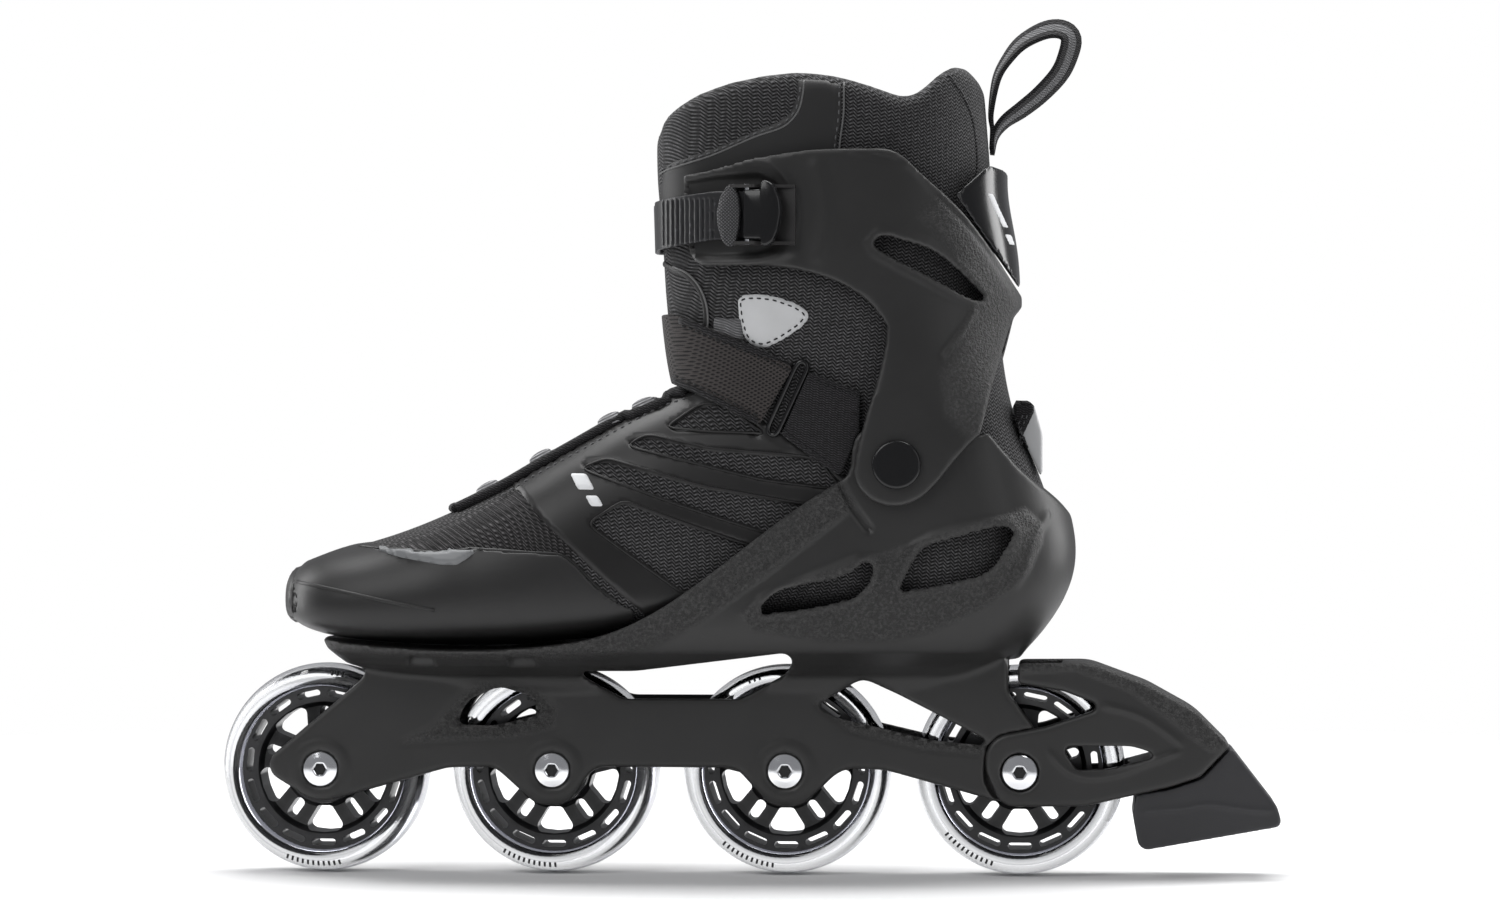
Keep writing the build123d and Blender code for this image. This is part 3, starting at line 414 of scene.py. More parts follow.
def curve_through(rows, at):
    """Smooth values of a table's columns at the given values of its first column."""
    t = np.array(rows, float)
    x, y = t[:, 0], t[:, 1:]
    d = (y[1:] - y[:-1]) / (x[1:] - x[:-1])[:, None]
    m = np.vstack([d[:1], (d[1:] + d[:-1]) / 2, d[-1:]])
    out = []
    for a in at:
        k = int(np.clip(np.searchsorted(x, a) - 1, 0, len(x) - 2))
        h = x[k + 1] - x[k]
        s = np.clip((a - x[k]) / h, 0, 1)
        out.append((2 * s**3 - 3 * s**2 + 1) * y[k] + (s**3 - 2 * s**2 + s) * h * m[k]
                   + (-2 * s**3 + 3 * s**2) * y[k + 1] + (s**3 - s**2) * h * m[k + 1])
    return np.array(out)


def ring(half, low, high, middle, power, count=72):
    """Points round an oval section, as (across, up)."""
    a = np.arange(count) * 2 * math.pi / count
    c, s = np.cos(a), np.sin(a)
    across = half * np.sign(c) * np.abs(c) ** (2 / power)
    reach = np.where(s > 0, high - middle, middle - low)
    return across, middle + reach * np.sign(s) * np.abs(s) ** (2 / power)


def loft(name, rings):
    """A closed surface through rings of the same number of points."""
    n = len(rings[0])
    verts = [p for r in rings for p in r]
    faces = []
    for k in range(len(rings) - 1):
        for i in range(n):
            j = (i + 1) % n
            faces.append((k * n + i, k * n + j, (k + 1) * n + j, (k + 1) * n + i))
    for k, flip in ((0, 1), (len(rings) - 1, 0)):
        c = len(verts)
        verts.append(tuple(np.mean(rings[k], axis=0)))
        for i in range(n):
            j = (i + 1) % n
            faces.append((k * n + j, k * n + i, c) if flip else (k * n + i, k * n + j, c))
    return new_object(name, np.array(verts) * MM, faces)


# ------------------------------------------------------------------ soft boot
foot_rows = [(-146.2, 99, 112, 13, 105), (-143, 95.5, 117, 26, 104), (-136, 92.5, 122, 37, 103), (-122, 89.8, 126, 45, 102),
             (-100, 88, 133, 49.2, 102), (-75, 87.4, 144, 50, 103), (-45, 88, 161.5, 48.5, 105), (-15, 90, 178.5, 45, 107),
             (15, 93, 190, 42, 110), (50, 96, 196, 40, 114), (85, 98, 196, 38.8, 118)]
leg_rows = [(98, 40, 136, 31), (106, 32, 143, 36.5), (120, 28, 147.5, 38.6), (138, 22, 146.5, 39), (155, 14, 141, 39),
            (170, 8, 134, 39.2), (185, 3, 129.5, 39.6), (200, 0, 126.8, 40.3), (220, -2, 124.8, 41.8), (245, -3.5, 123.2, 43.4),
            (270, -5, 122.2, 44.8), (290, -5.5, 121, 45.6), (312, -5.5, 119.5, 46)]
rim_rows = [(-8, 281), (-5.5, 283), (-2, 288.6), (3, 292), (12, 296.5), (25, 300.5), (38, 302.8), (50, 304), (62, 303), (72, 300.5),
            (80, 298), (88, 295), (93, 294.6), (98, 298), (103, 303.5), (108, 307), (112, 307.6), (116, 305), (121, 302)]


def foot_body(grow, nose=0.0):
    xs = np.concatenate([np.linspace(-146.2, -136, 9), np.linspace(-133, 85, 60)])
    rings = []
    table = curve_through(foot_rows, xs)
    for x, (low, high, half, mid) in zip(xs, table):
        if high - low + 2 * grow < 3 or half + grow < 2:
            continue
        y, z = ring(half + grow, low - grow, high + grow, mid, 2.5)
        rings.append(np.stack([np.full_like(y, x), y, z], 1))
    first = rings[0]
    c = first.mean(axis=0)
    for s, push in ((0.8, 0.5), (0.45, 0.9)):
        r = c + (first - c) * s
        r[:, 0] -= push
        rings.insert(0, r)
    return loft("foot", rings)


def leg_body(grow_low, grow_high, rim=0.0, top=0.0):
    """The leg column; its top follows the collar's edge, rounded over by rim (positive inwards)."""
    zs = np.concatenate([np.linspace(98, 250, 54), np.linspace(253, 312, 34)])
    rings = []
    table = curve_through(leg_rows, zs)
    rim_t = np.array(rim_rows, float)
    for z, (front, back, half) in zip(zs, table):
        s = np.clip((z - 150) / 70, 0, 1)
        g = grow_low + (grow_high - grow_low) * s * s * (3 - 2 * s)
        up = np.clip((z - 250) / 62, 0, 1)
        if rim:
            d = (1 - up) * 50
            if d < abs(rim):
                g -= math.copysign(abs(rim) - math.sqrt(max(rim**2 - (abs(rim) - d) ** 2, 0)), rim)
        y, x = ring(half + g, front - g, back + g, front + 0.56 * (back - front), 2.4)
        zz = np.full_like(x, z)
        if z > 250:
            zz = 250 + (np.interp(x, rim_t[:, 0], rim_t[:, 1]) + top - 250) * up
        rings.append(np.stack([x, y, zz], 1))
    if rim < 0:
        rings.append(rings[-1] * (1, 1, 0) + (0, 0, 345))
    return loft("leg", rings)


def join(a, b):
    bm = bmesh.new()
    bm.from_mesh(a.data)
    bm.from_mesh(b.data)
    bm.to_mesh(a.data)
    bm.free()
    drop(b)
    return a


boot = join(foot_body(-1.2), leg_body(-1.2, 0.0, rim=6.0))
boot.name = "boot_fabric"
remesh(boot, 1.9)
relax(boot, 0.5, 4)
# the fold where the ankle meets the instep is eased: more smoothing close to it
group = boot.vertex_groups.new(name="ankle")
p = points_of(boot) / MM
near = np.exp(-(((p[:, 0] - 0) / 22) ** 2 + ((p[:, 2] - 187) / 20) ** 2))
for i in np.where(near > 0.05)[0]:
    group.add([int(i)], float(near[i]), "REPLACE")
m = boot.modifiers.new("ease", "SMOOTH")
m.factor, m.iterations, m.vertex_group = 0.6, 30, "ankle"
bake(boot)
cavity = join(foot_body(-7.2), leg_body(-8.0, -9.5, rim=-6.0, top=0.0))
remesh(cavity, 1.9)
relax(cavity, 0.5, 6)
boolean(boot, cavity)
drop(cavity)
boot.data.materials.clear()
boot.data.materials.append(mesh_mat)
boot.data.shade_smooth()

# the tongue lies a little lower than the edges of the throat on either side
p = points_of(boot) / MM
up = np.empty(len(boot.data.vertices) * 3)
boot.data.vertices.foreach_get("normal", up)
ramp = lambda a: np.clip(a, 0, 1) ** 2 * (3 - 2 * np.clip(a, 0, 1))
sink = ramp((16.8 - np.abs(p[:, 1])) / 3.6) * ramp((p[:, 0] + 84) / 8) * ramp((4 - p[:, 0]) / 8)
sink *= (up.reshape(-1, 3)[:, 2] > 0.2) & (p[:, 2] > 128)
p[:, 2] -= 3.0 * sink
set_points(boot, p * MM)
# the forefoot is a coarser mesh than the leg
boot.data.materials.append(toe_mesh)
for face in boot.data.polygons:
    if face.center.x < -0.034 and (abs(face.center.y) > 0.0165 or face.center.x < -0.080):
        face.material_index = 1


boot_tree = BVHTree.FromPolygons([tuple(v.co) for v in boot.data.vertices], [tuple(q.vertices) for q in boot.data.polygons])


def on_boot(x, z, side=-1, tree=None):
    """Where a line across the skate at (x, z) millimetres meets the boot, with the surface's normal.
    With side 0 the line runs along the skate from the toe, at (y, z)."""
    if side == 0:
        hit, normal, *_ = (tree or boot_tree).ray_cast(Vector((-0.3, x * MM, z * MM)), Vector((1, 0, 0)))
    else:
        hit, normal, *_ = (tree or boot_tree).ray_cast(Vector((x * MM, side * 0.2, z * MM)), Vector((0, -side, 0)))
    return hit, normal


def smooth_path(points, step=2.0, closed=False):
    """Points evenly spaced along a smooth curve through the given ones."""
    p = np.array(points, float)
    if closed:
        q = np.vstack([p[-1], p, p[0], p[1]])
    else:
        q = np.vstack([2 * p[0] - p[1], p, 2 * p[-1] - p[-2]])
    out = []
    for k in range(1, len(q) - 2):
        for t in np.linspace(0, 1, 24, endpoint=False):
            out.append(0.5 * (2 * q[k] + (q[k + 1] - q[k - 1]) * t + (2 * q[k - 1] - 5 * q[k] + 4 * q[k + 1] - q[k + 2]) * t * t
                              + (3 * q[k] - q[k - 1] - 3 * q[k + 1] + q[k + 2]) * t**3))
    if not closed:
        out.append(q[-2])
    else:
        out.append(out[0])
    out = np.array(out)
    s = np.concatenate([[0], np.cumsum(np.linalg.norm(np.diff(out, axis=0), axis=1))])
    n = max(2, int(round(s[-1] / step)))
    at = np.linspace(0, s[-1], n + 1)
    res = np.stack([np.interp(at, s, out[:, k]) for k in range(out.shape[1])], 1)
    return res[:-1] if closed else res


def straight_path(points, step=2.0, closed=True):
    """Points evenly spaced along straight runs."""
    p = [np.array(q, float) for q in points] + ([np.array(points[0], float)] if closed else [])
    out = []
    for a, b in zip(p[:-1], p[1:]):
        n = max(1, int(round(np.linalg.norm(b - a) / step)))
        out += [a + (b - a) * t for t in np.linspace(0, 1, n, endpoint=False)]
    if not closed:
        out.append(p[-1])
    return np.array(out)


def inside(poly, pts):
    """Which points lie inside a closed outline."""
    x, y = pts[:, 0], pts[:, 1]
    c = np.zeros(len(pts), bool)
    j = len(poly) - 1
    for i in range(len(poly)):
        xi, yi, xj, yj = poly[i][0], poly[i][1], poly[j][0], poly[j][1]
        if yi != yj:
            c ^= ((yi > y) != (yj > y)) & (x < (xj - xi) * (y - yi) / (yj - yi) + xi)
        j = i
    return c


def edge_distance(poly, pts):
    """Distance of points from a closed outline."""
    best = np.full(len(pts), 1e9)
    for i in range(len(poly)):
        a, b = np.array(poly[i - 1], float), np.array(poly[i], float)
        ab = b - a
        t = np.clip(((pts - a) @ ab) / max(ab @ ab, 1e-12), 0, 1)
        best = np.minimum(best, np.linalg.norm(pts - (a + t[:, None] * ab), axis=1))
    return best


def drape(name, outline, mat, thick=0.9, edge=1.0, sink=0.5, side=-1, step=1.6, tree=None, puff=0.0, holes=()):
    """A thin panel laid on the boot: an outline in the side plane, rounded over at its edge."""
    outline = np.array(outline, float)
    lo, hi = outline.min(0), outline.max(0)
    gx, gz = np.meshgrid(np.arange(lo[0], hi[0], step), np.arange(lo[1], hi[1], step))
    grid = np.stack([gx.ravel(), gz.ravel()], 1)
    loops = [outline] + [np.array(h, float) for h in holes]

    def margin(q):
        return np.min([edge_distance(loop, q) for loop in loops], axis=0)

    def kept(q):
        return inside(outline, q) & ~np.any([inside(h, q) for h in loops[1:]] or [np.zeros(len(q), bool)], axis=0)

    grid = grid[kept(grid)]
    grid = grid[margin(grid) > 0.45 * step]
    pts = np.vstack(loops + [grid])
    edges, base = [], 0
    for loop in loops:
        edges += [(base + i, base + (i + 1) % len(loop)) for i in range(len(loop))]
        base += len(loop)
    verts, _, tris, *_ = delaunay_2d_cdt([Vector(q) for q in pts], edges, [], 0, 1e-5)
    flat = np.array([tuple(v) for v in verts])
    tris = [t for t, c in zip(tris, kept(flat[np.array(tris)].mean(axis=1))) if c]
    d = margin(flat)
    co = []
    for (x, z), e in zip(flat, d):
        hit, normal = on_boot(x, z, side, tree)
        if hit is None:
            hit, normal, *_ = (tree or boot_tree).find_nearest(Vector((x * MM, side * 0.03, z * MM)))
        s = min(e / edge, 1.0)
        lift = -sink + (thick + sink) * math.sqrt(1 - (1 - s) ** 2) + puff * (1 - math.exp(-e / 4))
        co.append(hit + normal * lift * MM)
    faces = [tuple(t) if side < 0 else tuple(reversed(t)) for t in tris]
    o = new_object(name, co, faces, mat)
    bm = bmesh.new()
    bm.from_mesh(o.data)
    bmesh.ops.recalc_face_normals(bm, faces=bm.faces)
    mid = sum((f.normal.y * side if side else -f.normal.x) * f.calc_area() for f in bm.faces)
    if mid < 0:
        bmesh.ops.reverse_faces(bm, faces=bm.faces)
    bm.to_mesh(o.data)
    bm.free()
    return o


def tube(name, path, radius, mat, sides=8, closed=False, flat=1.0, normals=None):
    """A rod, or a flattened one, along points in metres."""
    p = [Vector(q) for q in path]
    n = len(p)
    verts, faces = [], []
    up = Vector((0, 1, 0))
    for k in range(n):
        a, b = (p[k - 1] if k or closed else p[k]), (p[(k + 1) % n] if k < n - 1 or closed else p[k])
        t = (b - a).normalized()
        w = Vector(normals[k]) if normals is not None else up
        w = (w - t * w.dot(t)).normalized()
        u = t.cross(w)
        up = w if normals is None else up
        r = radius if not callable(radius) else radius(k / max(n - 1, 1))
        for i in range(sides):
            q = 2 * math.pi * i / sides
            verts.append(p[k] + (u * math.cos(q) + w * math.sin(q) * flat) * r * MM)
    for k in range(n if closed else n - 1):
        for i in range(sides):
            j, l = (i + 1) % sides, (k + 1) % n
            faces.append((k * sides + i, k * sides + j, l * sides + j, l * sides + i))
    if not closed:
        faces += [tuple(reversed(range(sides))), tuple(range((n - 1) * sides, n * sides))]
    return new_object(name, verts, faces, mat)


def on_surface(path, side=-1, lift=0.0, tree=None):
    """A path in the side plane laid on the boot, in metres, with the normals."""
    co, nn = [], []
    for x, z in path:
        hit, normal = on_boot(x, z, side, tree)
        if hit is None:
            hit, normal, *_ = (tree or boot_tree).find_nearest(Vector((x * MM, side * 0.02, z * MM)))
        co.append(hit + normal * lift * MM)
        nn.append(normal)
    return co, nn


def piping(name, path, mat, radius=1.3, side=-1, lift=0.4, closed=False, flat=0.7, tree=None):
    co, nn = on_surface(path, side, lift, tree)
    return tube(name, co, radius, mat, 10, closed, flat, nn)


def stitches(name, path, mat, side=-1, lift=0.55, length=1.9, gap=1.3, radius=0.34, tree=None, closed=False):
    """A row of thread stitches, each a small rounded bar that dips at both ends."""
    path = np.array(path, float)
    if closed:
        path = np.vstack([path, path[:1]])
    s = np.concatenate([[0], np.cumsum(np.linalg.norm(np.diff(path, axis=0), axis=1))])
    parts_v, parts_f = [], []
    at = 0.3
    while at + length < s[-1]:
        q = at + np.linspace(0, length, 5)
        seg = np.stack([np.interp(q, s, path[:, k]) for k in range(2)], 1)
        co, nn = on_surface(seg, side, 0, tree)
        rise = (-0.5, 0.35, 0.6, 0.35, -0.5)
        co = [c + m * (lift + (h - 0.6) * 2 * radius) * MM for c, m, h in zip(co, nn, rise)]
        base = len(parts_v)
        for k in range(5):
            t = (co[min(k + 1, 4)] - co[max(k - 1, 0)]).normalized()
            w = (nn[k] - t * nn[k].dot(t)).normalized()
            u = t.cross(w)
            for i in range(6):
                a = math.pi * i / 3
                parts_v.append(co[k] + (u * math.cos(a) + w * math.sin(a)) * radius * MM)
        for k in range(4):
            for i in range(6):
                j = (i + 1) % 6
                parts_f.append((base + k * 6 + i, base + k * 6 + j, base + (k + 1) * 6 + j, base + (k + 1) * 6 + i))
        parts_f += [tuple(base + i for i in reversed(range(6))), tuple(base + 24 + i for i in range(6))]
        at += length + gap
    return new_object(name, parts_v, parts_f, mat)


# ------------------------------------------------------------------ hard parts with moulded edges
def smooth01(a):
    a = np.clip(a, 0, 1)
    return a * a * (3 - 2 * a)


def vertex_normals(o):
    a = np.empty(len(o.data.vertices) * 3)
    o.data.vertices.foreach_get("normal", a)
    return a.reshape(-1, 3)


def soften(name, mat, voxel, rounds=3, ratio=1.0, factor=0.5):
    """The CAD node's shape with the small edge radii of a moulding, as a new piece."""
    src = cad[name]
    me = src.data.copy()
    o = bpy.data.objects.new(name + "_moulded", me)
    scene.collection.objects.link(o)
    me.transform(src.matrix_world)
    remesh(o, voxel)
    relax(o, factor, rounds)
    o.data.materials.clear()
    o.data.materials.append(mat)
    o["cad_node"] = name
    return o


def settle(o, body, limit=190000):
    """Puts a finished moulding in the place of its CAD node: thinned if too dense, smooth-shaded, the CAD node hidden,
    and attached to its body.
    """
    count = sum(len(q.vertices) - 2 for q in o.data.polygons)
    if count > limit:
        m = o.modifiers.new("thin", "DECIMATE")
        m.ratio = limit / count
        bake(o)
    o.data.shade_smooth()
    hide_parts(o["cad_node"])
    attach(o, body)
    return o


def facing(o, least=0.35, beyond=10.0):
    """Which vertices look outwards to either side."""
    p, n = points_of(o) / MM, vertex_normals(o)
    return (np.sign(p[:, 1]) * n[:, 1] > least) & (np.abs(p[:, 1]) > beyond), p, n


def press(o, outline, depth, soft=1.5, least=0.35, beyond=10.0, only=0):
    """Sinks (negative) or raises an area of the side faces, outlined in the side plane."""
    ok, p, n = facing(o, least, beyond)
    if only:
        ok &= np.sign(p[:, 1]) == only
    idx = np.where(ok)[0]
    q = p[idx][:, (0, 2)]
    inner = inside(outline, q)
    d = edge_distance(outline, q)
    w = smooth01(np.where(inner, d, -d) / soft * 0.5 + 0.5)
    p[idx] += n[idx] * (depth * w)[:, None]
    set_points(o, p * MM)


def score(o, path, depth, width=0.9, least=0.35, beyond=10.0, only=0, taper=True):
    """A groove (negative) or a bead along a line on the side faces."""
    path = smooth_path(path, 1.5)
    ok, p, n = facing(o, least, beyond)
    if only:
        ok &= np.sign(p[:, 1]) == only
    idx = np.where(ok)[0]
    q = p[idx][:, (0, 2)]
    best, at = np.full(len(q), 1e9), np.zeros(len(q))
    for i in range(len(path) - 1):
        a, b = path[i], path[i + 1]
        ab = b - a
        t = np.clip(((q - a) @ ab) / (ab @ ab), 0, 1)
        d = np.linalg.norm(q - (a + t[:, None] * ab), axis=1)
        better = d < best
        best[better], at[better] = d[better], (i + t[better]) / (len(path) - 1)
    fade = smooth01(np.minimum(at, 1 - at) / 0.12) if taper else 1.0
    w = np.exp(-((best / width) ** 2)) * fade
    p[idx] += n[idx] * (depth * w)[:, None]
    set_points(o, p * MM)


def zone(o, areas, soft=2.0, beyond=5.0):
    """Marks the coarse-grained areas of a moulding."""
    p = points_of(o) / MM
    q = p[:, (0, 2)]
    w = np.zeros(len(p))
    for outline in areas:
        inner = inside(outline, q)
        d = edge_distance(outline, q)
        w = np.maximum(w, smooth01(np.where(inner, d, -d) / soft * 0.5 + 0.5))
    w *= np.abs(p[:, 1]) > beyond
    a = o.data.attributes.get("zone") or o.data.attributes.new("zone", "FLOAT", "POINT")
    a.data.foreach_set("value", w.astype(np.float32))


rail_top = [(-139, 90.6), (-112, 88.2), (-75, 86.6), (-45, 88.2), (-24, 92), (-5, 100), (18, 115.5), (42, 134), (66, 150)]
window_a = [(36.5, 101), (38, 104.8), (56, 112.6), (74, 119.6), (78.5, 119.8), (79, 115.5), (76.5, 110.5), (71, 106), (62, 103.8), (48, 101.4), (37, 100)]
window_b = [(88.5, 110.8), (93, 119), (97, 125), (102, 127.6), (112, 130.4), (124, 133.4), (129, 133.8), (131.4, 131.2), (129, 125.5),
            (124, 118), (118, 114.4), (108, 112), (96, 109.6), (89, 109)]


def grown(outline, by):
    """An outline moved outwards all round."""
    p = np.array(outline, float)
    area = 0.5 * np.sum(p[:, 0] * np.roll(p[:, 1], -1) - np.roll(p[:, 0], -1) * p[:, 1])
    t = np.roll(p, -1, 0) - np.roll(p, 1, 0)
    t /= np.linalg.norm(t, axis=1)[:, None]
    nrm = np.stack([t[:, 1], -t[:, 0]], 1) * (1 if area > 0 else -1)
    return p + nrm * by


shell = soften("frame_shell", shell_mat, 1.05, 5)
press(shell, grown(window_a, 3.2), 0.9, 1.6, beyond=30)
press(shell, grown(window_b, 3.6), 0.9, 1.8, beyond=30)
score(shell, [(65.5, 151), (68, 147), (72, 140), (79, 130.5)], -1.8, 1.1, beyond=30)
score(shell, [(2, 93.5), (20, 104), (40, 117.5), (58, 131), (71, 141)], 0.7, 1.0, beyond=25)
score(shell, [(146, 141), (140, 131), (136, 118), (130, 108)], 0.7, 1.6, beyond=25)
press(shell, [(-101, 50.5), (-82, 52), (-60, 52.8), (-44, 56.5), (-43, 63), (-50, 70), (-70, 73.5), (-79, 68), (-90, 56)], -1.1, 2.4, beyond=14)
press(shell, [(57, 66), (74, 73), (90, 66), (110, 55), (124, 49), (118, 47.5), (96, 49.5), (70, 56)], -1.1, 2.4, beyond=14)
press(shell, [(103, 60.5), (106.8, 59.4), (107.4, 56), (105, 53.6), (101.6, 54), (100.4, 57.4)], 0.9, 1.0, beyond=14)
for x in (-92, -53):
    press(shell, [(x - 4.5, 80.6), (x + 4.5, 80.6), (x + 4.5, 83.6), (x - 4.5, 83.6)], -2.6, 0.9, least=0.2, beyond=8)
for x in (-133.5, -44.5, 44.5, 133.5):
    press(shell, [(x + 11.5 * math.cos(a), 40 + 11.5 * math.sin(a)) for a in np.linspace(0, 2 * math.pi, 25)[:-1]], 0.5, 1.2, beyond=14)
rail_band = [*[(x, z + 2) for x, z in rail_top], (72, 141), (58, 130), (40, 116), (15, 98), (5, 93), (-5, 88.5), (-20, 85), (-40, 83.5), (-138, 85)]
around = [(80, 122), (135, 139.5), (141, 134), (141, 127), (137, 118), (130, 110), (120, 103), (110, 98), (100, 94), (84, 91), (60, 91), (34, 95), (30, 101), (55, 114)]
scoop = [(-101, 50.5), (-82, 52), (-60, 52.8), (-44, 56.5), (-43, 63), (-50, 70), (-70, 73.5), (-79, 68), (-90, 56)]
zone(shell, [rail_band, around, scoop, [(57, 66), (74, 73), (90, 66), (110, 55), (124, 49), (118, 47.5), (96, 49.5), (70, 56)]])
settle(shell, "chassis")

cuff = soften("cuff", shell_mat, 0.95, 7)
pocket = [(4, 235), (20, 234), (36, 234.4), (42, 236.5), (46, 241), (47.6, 249), (46, 257), (42, 262), (36, 264.6), (20, 264), (4, 262)]
press(cuff, pocket, -1.9, 1.6, least=0.1, beyond=20, only=-1)
score(cuff, [(10, 267), (22, 268.4), (36, 270), (44, 266.5), (49.5, 258), (50.5, 248), (48, 239), (44, 233.4)], 0.7, 1.3, beyond=20, only=-1)
score(cuff, [(12, 232.6), (26, 232), (40, 233.4), (52, 237)], 0.9, 1.7, beyond=20)
press(cuff, grown([(79, 239.3), (81, 241.6), (90, 240.4), (99, 237.7), (108, 231.8), (117, 223.2), (120.6, 219.6), (119.5, 217.8), (116, 218.2),
                   (108, 222.1), (99, 227), (90, 231.6), (80.6, 237)], 3.0), 0.6, 1.4, beyond=20)
score(cuff, [(118, 216), (112, 206), (104, 195)], 0.8, 1.3, beyond=20)
score(cuff, [(56, 272), (60, 262), (62, 250), (60, 238), (56, 230)], 0.6, 3.0, beyond=20)
score(cuff, [(70, 273.5), (92, 268), (103, 257.5), (118, 241.5), (134, 218)], -0.5, 1.2, beyond=15, taper=False)
zone(cuff, [[(104, 256), (128, 224), (134, 217), (128, 205), (122, 180), (118, 166), (108, 176), (106, 190), (112, 204), (118, 216), (110, 236), (98, 250)]], 5.0)
settle(cuff, "cuff")

arm = soften("brake_arm", shell_mat, 0.8, 3)
score(arm, [(163, 66), (178, 62), (188, 56), (196, 49.5)], 0.7, 1.1, beyond=10)
score(arm, [(143, 50), (150, 42), (158, 38.5), (170, 39.5), (185, 45), (196, 49)], 0.7, 1.0, beyond=10)
zone(arm, [[(132, 83), (160, 83), (184, 75), (201, 65), (214, 50), (205, 49), (190, 61), (175, 71.5), (155, 79.4), (132, 78)]], 1.6, 3.0)
settle(arm, "chassis")

pad = soften("brake_pad", pad_mat, 0.8, 3)
score(pad, [(177, 25), (195, 26.5), (205, 28), (222, 26), (232, 26)], 0.6, 1.0, beyond=8)
settle(pad, "chassis")

panel = soften("cuff_back_panel", gloss_mat, 0.8, 3)
settle(panel, "cuff")
toe = soften("toe_cap", toe_mat, 0.7, 2)
settle(toe, "chassis")
for name, body, mat, slot_name, voxel in (
    ("ladder_strap", "cuff", strap_mat, "strap_plastic", 0.42),
    ("pivot_caps", "chassis", gloss_mat, "gloss_plastic", 0.4),
    ("heel_tab", "chassis", silver_mat, "webbing", 0.7),
):
    settle(soften(name, mat, voxel, 3), body)


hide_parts("boot_upper", "collar", "tongue", "overlay_lateral", "overlay_medial")
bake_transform(boot)


# ------------------------------------------------------------------ panels, seams and trims of the soft boot
def tree_of(*objects):
    """One ray-cast tree over several pieces as they lie now."""
    verts, faces = [], []
    for o in objects:
        base = len(verts)
        verts += [tuple(o.matrix_world @ v.co) for v in o.data.vertices]
        faces += [tuple(base + i for i in q.vertices) for q in o.data.polygons]
    return BVHTree.FromPolygons(verts, faces)


bpy.context.view_layer.update()
toe_tree = tree_of(boot, toe)


def place(o, body, slot_name, *nodes):
    """A finished trim piece: body is one CAD body, or None for a piece where the boot bends at the ankle; such a piece
    is left unattached where it lies.
    """
    if body:
        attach(o, body)
    else:
        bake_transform(o)
    if nodes:
        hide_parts(*nodes)
    return o


def rounded(corners, step=1.5, rounds=2):
    """A straight-sided outline with its corners eased."""
    p = straight_path(corners, step)
    for _ in range(rounds):
        p = 0.25 * np.roll(p, 1, 0) + 0.5 * p + 0.25 * np.roll(p, -1, 0)
    return p


# moulded ribs over the mesh, both sides
overlay_edge = [(-6, 99), (-26, 116.5), (-46, 136), (-56, 147), (-63, 146.6), (-34, 163.5), (-4, 180.5), (14, 186), (30, 178.5), (46, 167),
                (72, 150), (60, 128), (30, 104)]
rib_windows = [
    [(-27, 134.4), (-15, 141.6), (10, 132.6), (34, 125.2), (9, 108.5), (-12, 124)],
    [(-31, 155.6), (-22, 157.2), (15, 147), (56, 140), (42, 131), (6, 142.6)],
    [(-14, 164.2), (-7, 166.2), (18, 161), (58, 158), (67, 148), (38, 151.8)],
    [(1.5, 170.2), (14, 178), (21, 178.6), (37.5, 168.6), (16, 169.8)],
]
rib_mat = plastic("moulded_rib", (0.0068, 0.0064, 0.0064), 0.36, 0.10, 3400)
for side, tag in ((-1, "lateral"), (1, "medial")):
    o = drape("ribs_" + tag, rounded(overlay_edge), rib_mat, 1.15, 1.3, 0.4, side, 1.5, holes=[rounded(w, 1.5, 3) for w in rib_windows])
    place(o, "chassis", "strap_plastic")
    for k, w in enumerate(rib_windows):
        # a fine bead follows each opening in the ribs
        c = np.mean(np.array(w), axis=0)
        o = piping(f"rib_bead_{tag}_{k}", rounded(grown(w, 1.3), 1.6, 4), rib_mat, 0.5, side, 1.2, True, 0.8)
        place(o, "chassis", "strap_plastic")
    o = piping("throat_binding_" + tag, smooth_path([(-80, 138.5), (-63, 146.8), (-48, 155.5), (-34, 163.4), (-18, 172.6), (-4, 180), (8, 184.4)], 2), web_mat,
               2.5, side, 1.5, False, 0.85)
    place(o, "chassis", "webbing")
    for k, off in enumerate((0.0,)):
        o = stitches(f"throat_stitch_{tag}", smooth_path([(-62, 143.8), (-48, 152.2), (-34, 160), (-18, 169), (-4, 176.6), (8, 181.2)], 1.5), pale_thread, side, 1.3)
        place(o, "chassis", "webbing")

# reflective strip above the toe, and the toe's seams
for side, tag in ((-1, "lateral"), (1, "medial")):
    o = drape("toe_strip_" + tag, rounded([(-118, 126.4), (-106, 124.8), (-94, 123.7), (-83.4, 123.6), (-79.2, 124.6), (-69, 124.6), (-73, 121.2), (-77, 118.8),
                                           (-83.4, 119), (-99.2, 121.6)], 1.0, 1), grey_mat, 2.0, 0.8, 0.0, side, 0.9, toe_tree)
    place(o, "chassis", "reflective")
    o = piping("toe_line_" + tag, smooth_path([(-141, 112), (-132, 110.8), (-120, 108.6), (-110, 106.6), (-100, 104.6), (-85, 102)], 2), toe_mat, 0.7, side, 0.1,
               False, 0.6, toe_tree)
    place(o, "chassis", "toe_plastic")
    o = piping("toe_edge_" + tag, smooth_path([(-118, 125.6), (-100, 124.4), (-82, 123.2), (-73, 124.8), (-65, 124.4), (-50, 123.4), (-38, 122.4), (-31, 117.2),
                                               (-24, 110), (-17, 105)], 2), toe_mat, 0.8, side, 0.2, False, 0.6, toe_tree)
    place(o, "chassis", "toe_plastic")

